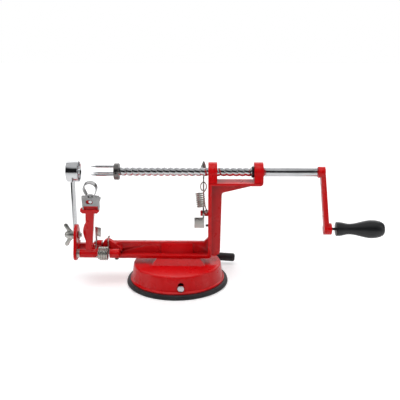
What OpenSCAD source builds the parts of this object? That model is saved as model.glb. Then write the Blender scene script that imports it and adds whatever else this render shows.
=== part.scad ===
// Apple peeler corer on a suction base, in millimetres.
// The feed screw lies along X, the crank is at +X, the fork and the blades at -X, and +Z is up.
// The origin is the centre of the suction cup's underside, on the table.

/* [Suction base] */
// Diameter of the rubber suction cup
cup_d = 107.2; // [90:0.2:130]
// Thickness of the rubber at its rim
cup_t = 4.7; // [3.8:0.1:5.6]
// How far the rubber rim shows past the metal base
cup_rim = 3.8; // [3:0.1:5]
// Height of the metal base's flat top above the table
dome_h = 22.3; // [19:0.1:27]
// Wall of the metal base
dome_wall = 2; // [1.6:0.1:2.6]
// How much smaller the top's radius is than the wall's foot
dome_taper = 1.8; // [1:0.1:4]
// Length of the pedestal under the rail, at its foot
pedestal_l = 55; // [48:1:62]
// Width of the pedestal at its foot
pedestal_w = 30.6; // [26:0.2:36]
// Height of the pedestal above the flat top
pedestal_h = 6.7; // [6:0.1:9]

/* [Suction lever] */
// Diameter of the lever's steel rod
rod_d = 6.4; // [5.4:0.1:7]
// How far the axle sits from the middle of the base along X
axle_x = 5.8; // [0:0.1:7]
// Height of the axle above the table
axle_z = 10.8; // [10:0.1:12]
// Throw of the cam that lifts the cup
cam_throw = 1.3; // [1:0.1:1.5]
// Reach of the lever from its axle to the end of its grip
lever_reach = 57.4; // [50:0.5:66]
// Length of the lever's grip
lever_grip_l = 24; // [18:1:28]
// Diameter of the lever's grip
lever_grip_d = 9.2; // [8:0.1:9.6]

/* [Frame] */
// Height of the rail's web above the rail's underside
rail_h = 15.1; // [13.5:0.1:18]
// Width of the casting's flanges
flange_w = 22; // [20:0.5:26]
// Thickness of the casting's flanges
flange_t = 3.2; // [2.6:0.1:4]
// Thickness of the casting's web
web_t = 5; // [4:0.1:6]
// Left face of the column
column_x = 32.5; // [29:0.1:37]
// Width of the column
column_w = 14; // [12:0.1:17]
// Thickness of each shaft lug along the shaft
lug_t = 9.1; // [8:0.1:11]
// Clear gap between the two shaft lugs
lug_gap = 37.6; // [32:0.1:44]
// Radius of the rounded lug tops
lug_r = 10; // [8.5:0.1:11]
// Thickness of the bracket floor between the lugs
bracket_t = 2.4; // [2:0.1:3.4]
// Drop from the shaft axis to the bracket floor
bracket_drop = 10; // [9:0.1:12]
// Left face of the blade post
post_x = -105.1; // [-112:0.1:-104]
// Thickness of the blade post
post_t = 2.4; // [2:0.1:3]

/* [Drive] */
// Height of the shaft axis above the table
shaft_z = 119; // [114:0.5:128]
// Diameter of the shaft, over the thread as well
shaft_d = 9; // [8:0.1:9.6]
// Lead of the knuckle thread
lead = 6.4; // [5.6:0.1:7]
// Depth of the knuckle thread
thread_depth = 1; // [0.8:0.1:1.2]
// Diameter of the fork's hub
hub_d = 17; // [16:0.1:17.6]
// Length of the fork's hub
hub_l = 5; // [4.4:0.1:7]
// Length of the fork's tines
tine_l = 24; // [16:1:26]
// Distance from the shaft to the handle, the crank's throw
crank_throw = 60.5; // [50:0.5:72]
// Length of the handle
handle_l = 50; // [44:0.5:60]
// Largest diameter of the handle
handle_d = 18.9; // [16:0.1:22]

/* [Peeling arm] */
// Height of the arm's pivot above the rail's underside
pivot_rise = 7.3; // [6.8:0.1:8]
// How far the arm's pivot stands in front of the frame's middle
pivot_y = -17; // [-20:0.5:-16.5]
// Lean of the arm towards the user at rest, in degrees
arm_lean = 12; // [8:1:16]
// Length of the arm from its pivot to its head's shoulders
arm_l = 52; // [46:0.1:60]
// How far the arm's head stands to the right of the stem's foot
arm_cant = 4; // [0:0.1:5]
// Width of the arm's stem
stem_w = 8.4; // [7:0.1:10]
// Width of the arm's head
head_w = 18.7; // [17:0.1:21]
// Outer diameter of the arm's torsion spring
arm_spring_d = 14.5; // [13.6:0.1:14.6]
// Diameter of the peeling loop
loop_d = 13.6; // [12:0.1:15]

/* [Coring blade] */
// Inner diameter of the coring ring
ring_d = 19.4; // [19.2:0.1:22]
// Length of the coring ring along the shaft
ring_l = 12; // [8:0.5:12]
// Thickness of the slicing blade
blade_t = 1.4; // [1:0.1:1.8]
// Width of the slicing blade
blade_w = 14; // [12:0.5:16]
// Distance of the blade bolt in front of the shaft axis
bolt_y = -5.5; // [-7:0.5:-4]

/* [Shaft release] */
// Thickness of the release and latch plates
plate_t = 1.5; // [1.2:0.1:1.8]
// Outer diameter of the release spring
release_spring_d = 9.6; // [8:0.1:10]

/* [Fits] */
// Radial clearance of a turning or sliding fit
run_fit = 0.06; // [0.03:0.01:0.09]
// Gap between faces that pass each other
gap = 0.3; // [0.25:0.05:0.4]

/* [Hidden] */

RED = "#b8141c";
BLACK = "#232323";
STEEL = "#b9bcc0";
CHROME = "#d8dadd";
ZINC = "#a9a79f";

fine = 64;
curve_steps = 16;
eps = 0.01;

// Suction base, worked out
cup_r = cup_d / 2;
dome_flange_r = cup_r - cup_rim;
dome_flange_t = 1.8;
dome_foot_r = dome_flange_r - 1.8;
dome_top_r = dome_foot_r - dome_taper;
dome_edge_r = 2.2;
pedestal_slope = 5.5;
pedestal_wall = 3;
rail_z = dome_h + pedestal_h;
pedestal_x = 1.5;
pedestal_slope_w = 5;
skin_t = 2;
plate_r = 14;
cup_plate_t = 1.2;
rod_r = rod_d / 2;
cam_land = 0.2;
cam_r = rod_r + cam_throw + cam_land;
cam_w = 9;
stem_w_y = 6;
stem_wall = 2.4;
stem_slack = 0.5;
axle_front_y = -dome_foot_r - 0.7;
lever_y = dome_foot_r + rod_r + 0.6;
lever_bend_r = rod_r + 0.6;
lever_drop = 2.2;
slot_rise = 2.4;
slot_tip_r = 2.8;
slot_relief = 0.9;
slot_relief_t = 1;
bend_swell = 0.05;
bend_lap = 0.3;
lever_toe_in = 4;
clip_y = dome_foot_r - dome_wall - 4;
screw_x = 15;
screw_r = 1.9;
screw_head_r = 3.6;
screw_head_t = 2.2;
screw_bite = 9;

// Frame, worked out
rail_top = rail_z + rail_h;
column_right = column_x + column_w;
lug_right_x = column_x + lug_t + lug_gap;
bracket_end = lug_right_x + lug_t;
floor_z = shaft_z - bracket_drop;
post_right = post_x + post_t;
half_flange = flange_w / 2;
half_web = web_t / 2;
column_corner_r = 6;
column_taper = 1.3;
gusset_rise = 9.2;
gusset_fillet = 3;
panel_out = 1.5;
panel_x = 16.5;
pivot_z = rail_z + pivot_rise;
pin_r = 2.5;
bolt_r = 2.5;
bolt_z = rail_z + 23.6;
post_top_y = bolt_y - 3;
post_top_z = bolt_z + 2;
post_top_r = 10;
pin_boss_r = 7.3;
right_lug_x = post_right + 34.1;
right_lug_t = 9.5;
set_screw_x = right_lug_x + right_lug_t / 2 + 2;
spring_lug_x = right_lug_x - 3.7;
spring_lug_z = rail_top - 1.1;
spring_lug_r = 4.9;
spring_lug_out = 5.6;
flange_start = right_lug_x;

// Drive, worked out
shaft_r = shaft_d / 2;
thread_relief = 0.03;
thread_core_r = shaft_r - thread_depth / 2 - thread_relief;
bush_flange_t = 2.3;
bush_flange_r = shaft_r + 1.25;
bush_r = shaft_r + 0.8;
thread_end = lug_right_x - bush_flange_t + 1.4;
hub_left = post_right + 39.1;
thread_start = hub_left + hub_l;
crank_x = bracket_end + 56;
crank_hub_l = 7;
crank_hub_r = shaft_r + 1.2;
crank_boss_l = 7.9;
crank_boss_r = 6;
crank_lean = 8.8;
crank_t = 4.9;
crank_w = 8.4;
handle_z = shaft_z - crank_throw;
handle_gap = 4.9;
handle_x = crank_x + crank_lean + crank_boss_l + handle_gap;
handle_bolt_r = 1.4;
handle_rim_r = 7.3;
handle_waist_r = 5.6;
neck_r = shaft_r - 1.2;
hub_pin_r = 0.9;
tine_ring_r = 5.2;
tine_r = 1.3;

// Peeling arm, worked out. Its own frame has the pivot at the origin and Z along the arm.
hub_gap = 3.4;
arm_hub_left = post_right + hub_gap;
arm_hub_l = 18.4;
arm_hub_right = arm_hub_left + arm_hub_l;
arm_hub_r = 4.5;
foot_x = arm_hub_right - 8.2;
head_x = foot_x + arm_cant;
stem_t = 5;
fin_t = 2.4;
fin_out = 4.2;
fin_low = 11;
fin_turn = 35;
head_h = 4.2;
block_w = 14.2;
block_set = 1.2;
block_h = 12.8;
clip_t = 1.1;
clip_x = head_x + 0.4 * arm_cant;
clip_w = block_w + 0.2;
clip_bottom = arm_l + 3.9;
clip_plate_h = 11.5;
clip_leg = clip_bottom - arm_l - gap;
clip_front = block_set - stem_t / 2 - clip_t;
clip_screw_s = arm_l + 8.5;
loop_x = clip_x + 0.2 * arm_cant;
loop_r = loop_d / 2;
loop_foot_r = loop_r - 2.2;
loop_t = 1;
loop_w = 6;
loop_foot_s = arm_l + 17;
loop_s = loop_foot_s + 5.8;
arm_wire_r = 0.85;
arm_coil_r = arm_spring_d / 2 - arm_wire_r;
arm_coil_turns = 5;
arm_coil_left = arm_hub_right + 1.2;
arm_coil_pitch = 1.88;
arm_leg_hole = arm_wire_r + gap;
arm_leg_r = 3.6;
arm_coil_start = 225 - arm_lean;

// Arm latch, worked out
latch_x = arm_hub_right - 4;
latch_y = -6.5;
latch_z = rail_top;
latch_lug_t = 4.6;
latch_tab_w = 6.2;
latch_tab_h = 9.6;
latch_tab_z = latch_z + 8.2;
latch_nose_gap = 0.4;

// Coring blade, worked out
ring_wall = 1;
ring_r = ring_d / 2;
ring_out = ring_r + ring_wall;
blade_x = post_x - blade_t;
blade_foot = 9;
blade_ring_z = shaft_z - sqrt(pow(ring_r + ring_wall / 2, 2) - pow(bolt_y, 2));
washer_t = 1.2;
washer_r = 5.2;
nut_l = 7.4;
nut_r = 4.5;
nut_left = blade_x - washer_t - gap - nut_l;

// Shaft release, worked out
plate_x = column_x - 5.6;
release_y = 0;
release_z = rail_z + 46.2;
release_pin_r = 2;
release_hub_r = 3.8;
tooth_t = 1.2;
tooth_gap = thread_depth / 2;
tab_l = 8.6;
tab_h = 11;
peg_r = 1;
peg_hook_r = 1.8;
peg_y = -6.5;
peg_z = release_z + 3.4;
spring_wire_r = 0.6;
spring_top = [column_x - 8.6, -8, release_z + 24];
spring_bottom = [column_x - 7, -8, release_z + 8.4];
hook_y = -3;
hook_z = shaft_z - 10.6;

function arc(cx, cy, r, from, to, n = curve_steps) =
    [for (i = [0 : n]) let (a = from + (to - from) * i / n) [cx + r * cos(a), cy + r * sin(a)]];
function unit(v) = v / norm(v);
function tangent(path, i) =
    unit(path[min(i + 1, len(path) - 1)] - path[max(i - 1, 0)]);
function reject(v, t) = v - t * (v * t);
function side_of(path, n, i) = unit(reject(n, tangent(path, i)));
function sides_along(path, first) =
    [for (i = 0, n = side_of(path, first, 0); i < len(path);
          i = i + 1, n = side_of(path, n, min(i, len(path) - 1))) n];

// A round wire swept along a list of points.
module wire(path, r, first = [0, 0, 1], sides = 8) {
    across = sides_along(path, first);
    points = [for (i = [0 : len(path) - 1])
        let (n = across[i], b = cross(tangent(path, i), n))
        for (k = [0 : sides - 1])
            path[i] + r * (cos(360 * k / sides) * n + sin(360 * k / sides) * b)];
    last = len(path) - 1;
    skin = [for (i = [0 : last - 1], k = [0 : sides - 1])
        let (a = i * sides + k, b = i * sides + (k + 1) % sides)
        each [[a, a + sides, b + sides], [a, b + sides, b]]];
    polyhedron(points = points, convexity = 10,
        faces = concat(skin, [[for (k = [0 : sides - 1]) k]],
            [[for (k = [0 : sides - 1]) last * sides + sides - 1 - k]]));
}

// Two circles joined by their outer tangents, drawn in the plane.
module link(a, ra, b, rb) {
    d = norm(b - a);
    turn = atan2(b[1] - a[1], b[0] - a[0]);
    open = acos((ra - rb) / d);
    translate(a) circle(ra, $fn = fine);
    translate(b) circle(rb, $fn = fine);
    polygon([for (s = [[a, ra, 1], [b, rb, 1], [b, rb, -1], [a, ra, -1]])
        s[0] + s[1] * [cos(turn + s[2] * open), sin(turn + s[2] * open)]]);
}

// A plane drawing in (Y, Z) given a thickness along X, from x upwards.
module along_x(x, t) {
    translate([x, 0, 0]) rotate([90, 0, 90]) linear_extrude(t) children();
}

// A plane drawing in (X, Z) given a thickness along Y, from y upwards.
module along_y(y, t) {
    translate([0, y + t, 0]) rotate([90, 0, 0]) linear_extrude(t) children();
}

module rod_x(x, y, z, r, l) {
    translate([x, y, z]) rotate([0, 90, 0]) cylinder(h = l, r = r, $fn = fine);
}

module rod_y(x, y, z, r, l) {
    translate([x, y, z]) rotate([-90, 0, 0]) cylinder(h = l, r = r, $fn = fine);
}

// A rounded rectangle with its corner at the given point.
module round_rect(x, y, w, h, r) {
    translate([x + r, y]) square([w - 2 * r, h]);
    translate([x, y + r]) square([w, h - 2 * r]);
    for (cx = [x + r, x + w - r], cy = [y + r, y + h - r])
        translate([cx, cy]) circle(r, $fn = fine);
}

/* ---- Suction base ---- */

module suction_cup() {
    lip = 1.1;
    color(BLACK) rotate_extrude($fn = fine * 2)
        polygon(concat([[0, 0]], arc(cup_r - lip, lip, lip, -90, 0, 6),
            arc(cup_r - lip - 0.5, cup_t - lip, lip, 20, 90, 6),
            [[dome_foot_r - dome_wall - 3, cup_t], [dome_foot_r - dome_wall - 8, skin_t],
             [0, skin_t]]));
}

module cup_plate() {
    color(ZINC) translate([axle_x, 0, skin_t])
        cylinder(h = cup_plate_t, r = plate_r, $fn = fine);
}

// The yoke stands on the cup plate; the lever's cam turns inside its window.
module cup_stem() {
    window_z = axle_z - cam_throw;
    half_x = cam_r + cam_throw + gap;
    half_z = cam_r + stem_slack;
    foot = skin_t + cup_plate_t;
    color(ZINC) along_y(-stem_w_y / 2, stem_w_y) difference() {
        translate([axle_x - half_x - stem_wall, foot])
            square([2 * (half_x + stem_wall), window_z + half_z + stem_wall - foot]);
        round_rect(axle_x - half_x, window_z - half_z, 2 * half_x, 2 * half_z, 1);
    }
}

module pedestal_solid(shrink, top) {
    half_l = pedestal_l / 2 - shrink;
    half_w = pedestal_w / 2 - shrink;
    slope_w = pedestal_slope_w;
    translate([pedestal_x, 0, 0]) intersection() {
        along_y(-pedestal_w, 2 * pedestal_w)
            polygon([[-half_l, dome_h - dome_wall], [half_l, dome_h - dome_wall], [half_l, dome_h],
                     [half_l - pedestal_slope, top], [pedestal_slope - half_l, top],
                     [-half_l, dome_h]]);
        along_x(-pedestal_l, 2 * pedestal_l)
            polygon([[-half_w, dome_h - dome_wall], [half_w, dome_h - dome_wall], [half_w, dome_h],
                     [half_w - slope_w, top], [slope_w - half_w, top], [-half_w, dome_h]]);
    }
}

module base_dome() {
    inner_foot = dome_foot_r - dome_wall;
    inner_top = dome_top_r - dome_wall;
    ceiling = dome_h - dome_wall;
    slot_face_r = dome_foot_r - dome_taper * (axle_z - cup_t) / (dome_h - cup_t);
    slot_face_y = sqrt(pow(slot_face_r, 2) - pow(axle_x, 2));
    hole_r = rod_r + run_fit;
    color(RED) difference() {
        union() {
            rotate_extrude($fn = fine * 2) polygon(concat(
                [[0, ceiling], [inner_top, ceiling], [inner_foot, cup_t], [dome_flange_r, cup_t]],
                [[dome_flange_r, cup_t + dome_flange_t - 0.5],
                 [dome_flange_r - 0.5, cup_t + dome_flange_t],
                 [dome_foot_r, cup_t + dome_flange_t + 0.6]],
                arc(dome_top_r - dome_edge_r, dome_h - dome_edge_r, dome_edge_r, 8, 90, 8),
                [[0, dome_h]]));
            pedestal_solid(0, rail_z);
        }
        pedestal_solid(pedestal_wall, rail_z - pedestal_wall);
        for (x = [-screw_x, screw_x])
            translate([pedestal_x + x, 0, dome_h]) cylinder(h = pedestal_h + 1, r = screw_r + gap, $fn = 32);
        rod_y(axle_x, 0, axle_z, hole_r, cup_r);
        // Slot for the front end of the axle, with a relief round it in the outer face
        rod_y(axle_x, -cup_r, axle_z, hole_r, cup_r);
        rod_y(axle_x, -cup_r, axle_z + slot_rise, slot_tip_r, cup_r - plate_r);
        rod_y(axle_x, -cup_r, axle_z, rod_r + slot_relief, cup_r - slot_face_y + slot_relief_t);
        rod_y(axle_x, -cup_r, axle_z + slot_rise, slot_tip_r + slot_relief / 2,
              cup_r - slot_face_y + slot_relief_t);
    }
}

// Two screws hold the base to the rail from inside the pedestal.
module base_screws() {
    head_z = rail_z - pedestal_wall - screw_head_t;
    color(ZINC) for (x = [-screw_x, screw_x]) translate([pedestal_x + x, 0, head_z]) difference() {
        union() {
            cylinder(h = screw_head_t, r = screw_head_r, $fn = 48);
            cylinder(h = screw_head_t + pedestal_wall + screw_bite, r = screw_r, $fn = 48);
        }
        for (a = [0, 90]) rotate([0, 0, a])
            translate([-2, -0.4, -eps]) cube([4, 0.8, 1.2]);
    }
}

/* ---- Suction lever ---- */

// The steel rod: axle, cam, bend and arm in one piece.
module lever_axle() {
    arm_l_x = lever_reach - lever_bend_r - 3;
    tilt = asin(lever_drop / lever_reach);
    color(CHROME) translate([axle_x, 0, axle_z]) {
        difference() {
            rod_y(0, axle_front_y, 0, rod_r, lever_y - lever_bend_r + bend_lap - axle_front_y);
            translate([0, clip_y - 0.05, 0]) rotate([-90, 0, 0])
                rotate_extrude($fn = fine) translate([rod_r - 0.6, 0]) square([2, 0.9]);
        }
        rod_y(0, -cam_w / 2, -cam_throw, cam_r, cam_w);
        rotate([0, tilt, 0]) {
            translate([lever_bend_r, lever_y - lever_bend_r, 0])
                rotate([0, 0, 90]) rotate_extrude(angle = 90, $fn = fine)
                    translate([lever_bend_r, 0]) circle(rod_r + bend_swell, $fn = 32);
            translate([lever_bend_r, lever_y, 0]) rotate([0, 0, -lever_toe_in])
                rod_x(-bend_lap, 0, 0, rod_r, arm_l_x);
        }
    }
}

module lever_grip() {
    tilt = asin(lever_drop / lever_reach);
    far = lever_reach - lever_bend_r;
    grip_r = lever_grip_d / 2;
    color(BLACK) translate([axle_x, 0, axle_z]) rotate([0, tilt, 0])
        translate([lever_bend_r, lever_y, 0]) rotate([0, 0, -lever_toe_in]) rotate([0, 90, 0])
            rotate_extrude($fn = fine) polygon(concat(
                [[rod_r, far - lever_grip_l], [grip_r - 0.6, far - lever_grip_l],
                 [grip_r, far - lever_grip_l + 0.8]],
                arc(grip_r - 2.6, far - 2.6, 2.6, 0, 90, 8),
                [[0, far], [0, far - 3], [rod_r, far - 3]]));
}

module axle_clip() {
    color(ZINC) translate([axle_x, clip_y, axle_z]) rotate([-90, 0, 0])
        difference() {
            cylinder(h = 0.8, r = rod_r + 2, $fn = fine);
            translate([0, 0, -1]) cylinder(h = 3, r = rod_r - 0.55, $fn = fine);
            translate([-1.4, 0, -1]) cube([2.8, rod_r + 3, 3]);
        }
}

/* ---- Frame casting ---- */

module web_outline() {
    floor_under = floor_z - bracket_t;
    toe_x = bracket_end - 4;
    slope = atan(gusset_rise / (toe_x - column_right));
    fillet_x = column_right + gusset_fillet;
    fillet_z = floor_under - gusset_rise + gusset_fillet * tan(slope) - gusset_fillet / cos(slope);
    left_top = rail_top - 2.6;
    polygon(concat(
        [[post_right, rail_z]],
        arc(column_right - column_taper - column_corner_r, rail_z + column_corner_r,
            column_corner_r, -90, 0, 10),
        arc(fillet_x, fillet_z, gusset_fillet, 180, 90 + slope, 8),
        [[toe_x, floor_under], [toe_x, floor_z], [column_x, floor_z], [column_x, rail_top + 4.2],
         [column_x - 4.2, rail_top], [spring_lug_x, rail_top],
         [spring_lug_x - spring_lug_r, left_top], [post_right, left_top]]));
}

// The flange band runs under the rail and turns up the column's left side.
module band_outline() {
    turn_r = flange_t + 0.8;
    inner_r = 3;
    right = column_x + flange_t + 0.6;
    polygon(concat(
        [[flange_start, rail_z]],
        arc(right - turn_r, rail_z + turn_r, turn_r, -90, 0, 10),
        [[right, floor_z], [column_x, floor_z]],
        arc(column_x - inner_r, rail_z + flange_t + inner_r, inner_r, 0, -90, 8),
        [[flange_start, rail_z + flange_t]]));
}

module lug_outline() {
    translate([0, shaft_z]) circle(lug_r, $fn = fine);
    translate([-lug_r, floor_z - bracket_t]) square([2 * lug_r, bracket_drop + bracket_t]);
}

module post_outline() {
    link([pivot_y, pivot_z], pin_boss_r, [post_top_y, post_top_z], post_top_r);
    translate([pivot_y, rail_z]) square([half_web - pivot_y, rail_h]);
}

module frame_casting() {
    corner = 3.5;
    boss_r = 4.7;
    color(RED) difference() {
        union() {
            along_y(-half_web, web_t) web_outline();
            along_y(-half_flange, flange_w) band_outline();
            along_y(-half_web, half_flange + half_web)
                translate([post_right, rail_z]) square([flange_start - post_right + 1, flange_t]);
            along_y(-half_web - panel_out, web_t + 2 * panel_out)
                translate([-panel_x, rail_z]) square([2 * panel_x, rail_h - 0.8]);
            translate([column_x, -half_flange, floor_z - bracket_t])
                cube([bracket_end - column_x, flange_w, bracket_t]);
            for (x = [column_x, lug_right_x]) along_x(x, lug_t) lug_outline();
            along_x(post_x, post_t) post_outline();
            along_x(right_lug_x, right_lug_t) union() {
                translate([pivot_y, pivot_z]) circle(boss_r, $fn = fine);
                translate([pivot_y, pivot_z - boss_r]) square([-pivot_y, boss_r + 1.6]);
            }
            // Lug that anchors the torsion spring, with its tail rib
            along_y(-half_web - spring_lug_out, spring_lug_out + 1) union() {
                link([spring_lug_x, spring_lug_z], spring_lug_r,
                     [right_lug_x + right_lug_t, rail_top - 6.6], 1.9);
            }
            // Ramp at the end of the rail's recess
            translate([right_lug_x + right_lug_t - 4, 0, rail_z + 10])
                linear_extrude(rail_h - 10.4)
                    polygon([[-8, 0], [-8, -half_web - 3.6], [0, -half_web - 3.6],
                             [5.4, -half_web + eps], [5.4, 0]]);
            // Lug that carries the arm latch
            along_x(latch_x + plate_t + gap, latch_lug_t) union() {
                translate([latch_y, latch_z]) circle(3, $fn = fine);
                translate([latch_y, latch_z - 7]) square([-latch_y, 8]);
            }
            rod_x(plate_x + plate_t + gap, release_y, release_z, 3.2,
                  column_x - plate_x - plate_t - gap + 1);
        }
        rod_x(column_x - 1, 0, shaft_z, shaft_r + run_fit + 0.02, lug_t + 2);
        rod_x(lug_right_x - 1, 0, shaft_z, bush_r + run_fit, lug_t + 2);
        rod_x(post_x - 1, pivot_y, pivot_z, pin_r, post_t + 2);
        rod_x(right_lug_x - 1, pivot_y, pivot_z, pin_r, right_lug_t + 0.5);
        rod_x(post_x - 1, bolt_y, bolt_z, bolt_r + 0.1, post_t + 2);
        rod_x(latch_x, latch_y, latch_z, 1.5, latch_lug_t + plate_t + 2);
        rod_x(plate_x, release_y, release_z, release_pin_r, 9);
        rod_x(column_x - 1, peg_y, peg_z, peg_r, 4);
        rod_x(column_x - 1, -4, release_z - 12.2, 1.2, 4);
        for (x = [-screw_x, screw_x]) translate([pedestal_x + x, 0, rail_z - 1])
            cylinder(h = screw_bite + 2, r = screw_r, $fn = 48);
        translate([set_screw_x, pivot_y, rail_z])
            cylinder(h = pivot_rise, r = 2, $fn = 48);
        translate([spring_lug_x + 1, pivot_y + arm_coil_r + 2.1, spring_lug_z - 9])
            cylinder(h = 20, r = arm_leg_hole, $fn = 32);
        // Rounded outer corner under the right lug
        translate([bracket_end - corner, 0, floor_z - bracket_t + corner]) rotate([90, 0, 0])
            translate([0, 0, -half_flange - 1]) linear_extrude(flange_w + 2) difference() {
                translate([0, -corner - 1]) square([corner + 1, corner + 1]);
                circle(corner, $fn = fine);
            }
    }
}

/* ---- Feed screw, fork and crank ---- */

module rear_bush() {
    color(BLACK) difference() {
        union() {
            rod_x(lug_right_x - gap / 2 - bush_flange_t, 0, shaft_z, bush_flange_r, bush_flange_t);
            rod_x(lug_right_x - gap, 0, shaft_z, bush_r, lug_t + gap);
        }
        rod_x(lug_right_x - 5, 0, shaft_z, shaft_r + run_fit, lug_t + 9);
    }
}

// The knuckle thread is a round core swept round the axis, so it is one soft wave a turn.
module drive_shaft() {
    length = thread_end - thread_start;
    groove_turn = 180 - 360 * (plate_x + plate_t / 2 - thread_start) / lead;
    color(STEEL) {
        translate([thread_start, 0, shaft_z]) rotate([0, 90, 0])
            rotate([0, 0, 90 + groove_turn]) linear_extrude(height = length,
                twist = -360 * length / lead, slices = ceil(12 * length / lead), convexity = 4)
                translate([thread_depth / 2, 0]) circle(thread_core_r, $fn = 16);
        rod_x(hub_left, 0, shaft_z, neck_r, hub_l + 0.5);
        rod_x(thread_end - 0.3, 0, shaft_z, shaft_r, crank_x + crank_hub_l + 0.3 - thread_end);
    }
}

module fork_hub() {
    chamfer = 0.35;
    hub_r = hub_d / 2;
    color(STEEL) difference() {
        translate([hub_left, 0, shaft_z]) rotate([0, 90, 0]) rotate_extrude($fn = fine)
            polygon([[neck_r, 0], [hub_r - chamfer, 0], [hub_r, chamfer],
                     [hub_r, hub_l - chamfer], [hub_r - chamfer, hub_l], [neck_r, hub_l]]);
        for (k = [0 : 2]) rod_x(hub_left - 1, tine_ring_r * cos(90 + 120 * k),
            shaft_z + tine_ring_r * sin(90 + 120 * k), tine_r, 4);
        rod_y(hub_left + hub_l / 2, -hub_r, shaft_z, hub_pin_r, 2 * hub_r);
    }
}

module fork_tines() {
    point = 6;
    root = 3;
    color(CHROME) for (k = [0 : 2]) let (a = 90 + 120 * k)
        translate([hub_left + root, tine_ring_r * cos(a), shaft_z + tine_ring_r * sin(a)])
            rotate([0, -90, 0]) rotate_extrude($fn = 32)
                polygon([[0, 0], [tine_r, 0], [tine_r, root + tine_l - point],
                         [0.25, root + tine_l], [0, root + tine_l]]);
}

// A roll pin locks the hub to the shaft's neck.
module hub_pin() {
    color(ZINC) for (s = [[neck_r, hub_d / 2 - 0.3], [0.3 - hub_d / 2, -neck_r]])
        rod_y(hub_left + hub_l / 2, s[0], shaft_z, hub_pin_r, s[1] - s[0]);
}

module crank_arm() {
    top_left = crank_x + 2.4;
    boss_x = crank_x + crank_lean;
    color(RED) difference() {
        union() {
            rod_x(crank_x, 0, shaft_z, crank_hub_r, crank_hub_l);
            rod_x(boss_x, 0, handle_z, crank_boss_r, crank_boss_l);
            intersection() {
                along_y(-crank_w, 2 * crank_w)
                    polygon([[top_left, shaft_z], [top_left + crank_t, shaft_z],
                             [boss_x + crank_t + 0.6, handle_z], [boss_x + 0.4, handle_z]]);
                along_x(crank_x, crank_lean + crank_boss_l)
                    link([0, shaft_z], crank_w / 2, [0, handle_z], crank_w / 2 + 0.4);
            }
        }
        rod_x(crank_x - 1, 0, shaft_z, shaft_r, crank_hub_l + crank_lean);
        rod_x(boss_x - 1, 0, handle_z, handle_bolt_r, crank_boss_l + 2);
        rod_y(crank_x + crank_hub_l / 2, 0, shaft_z, 1.6, crank_hub_r + 1);
    }
}

module crank_set_screw() {
    color(ZINC) difference() {
        rod_y(crank_x + crank_hub_l / 2, shaft_r + 0.05, shaft_z, 1.6, crank_hub_r - shaft_r - 0.3);
        rod_y(crank_x + crank_hub_l / 2, crank_hub_r - 0.9, shaft_z, 0.8, 2, $fn = 6);
    }
}

module handle_bolt() {
    boss_x = crank_x + crank_lean;
    head_x = handle_x + handle_l - 5.2;
    color(ZINC) {
        rod_x(boss_x, 0, handle_z, handle_bolt_r, head_x - boss_x + 0.1);
        rod_x(head_x, 0, handle_z, 3.2, 2.4);
    }
}

module handle_washer() {
    color(ZINC) difference() {
        rod_x(handle_x - handle_gap, 0, handle_z, 2.6, 0.8);
        rod_x(handle_x - handle_gap - 1, 0, handle_z, handle_bolt_r, 4);
    }
}

module handle_grip() {
    belly_r = handle_d / 2;
    rim_l = 2.6;
    waist_x = 13.6;
    belly_x = handle_l - 12.8;
    end_r = 6;
    function wave(a, b, t) = a + (b - a) * (1 - cos(180 * t)) / 2;
    neck = [for (i = [1 : 6]) [wave(handle_rim_r, handle_waist_r, i / 6),
                               rim_l + (waist_x - rim_l) * i / 6]];
    swell = [for (i = [1 : 12]) [wave(handle_waist_r, belly_r, i / 12),
                                 waist_x + (belly_x - waist_x) * i / 12]];
    close = [for (i = [1 : 8]) let (a = 90 * i / 8)
        [end_r * 0.7 + (belly_r - end_r * 0.7) * cos(a), belly_x + (handle_l - belly_x) * sin(a)]];
    bore = handle_bolt_r + run_fit;
    color(BLACK) translate([handle_x, 0, handle_z]) rotate([0, 90, 0])
        rotate_extrude($fn = fine) polygon(concat(
            [[bore, 0], [handle_rim_r - 0.5, 0], [handle_rim_r, 0.5], [handle_rim_r, rim_l]],
            neck, swell, close,
            [[3.8, handle_l], [3.8, handle_l - 5.5], [bore, handle_l - 5.5]]));
}

/* ---- Coring and slicing blade ---- */

module slicing_blade() {
    low = bolt_z - blade_foot;
    color(CHROME) difference() {
        along_x(blade_x, blade_t) union() {
            translate([bolt_y, low]) circle(blade_w / 2, $fn = fine);
            translate([bolt_y - blade_w / 2, low]) square([blade_w, blade_ring_z - low]);
        }
        along_x(blade_x - 1, blade_t + 2) union() {
            translate([bolt_y, bolt_z]) circle(bolt_r + 0.1, $fn = fine);
            translate([bolt_y, low]) circle(bolt_r + 0.1, $fn = fine);
            translate([bolt_y - bolt_r - 0.1, low]) square([2 * bolt_r + 0.2, bolt_z - low]);
        }
        rod_x(blade_x - ring_l, 0, shaft_z, ring_out, 2 * ring_l);
    }
}

module coring_ring() {
    color(CHROME) difference() {
        rod_x(blade_x + blade_t / 2 - ring_l / 2, 0, shaft_z, ring_out, ring_l);
        rod_x(blade_x - ring_l, 0, shaft_z, ring_r, 2 * ring_l + 4);
    }
}

module blade_bolt() {
    head_t = 1.6;
    tip = nut_left - 1.4;
    color(ZINC) {
        rod_x(tip, bolt_y, bolt_z, bolt_r, post_right - tip);
        rod_x(post_right, bolt_y, bolt_z, 4, head_t);
        rod_x(post_right + head_t, bolt_y, bolt_z, 2.2, 1.7);
    }
}

module blade_washer() {
    color(ZINC) difference() {
        rod_x(blade_x - washer_t, bolt_y, bolt_z, washer_r, washer_t);
        rod_x(blade_x - washer_t - 1, bolt_y, bolt_z, bolt_r, washer_t + 2);
    }
}

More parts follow.
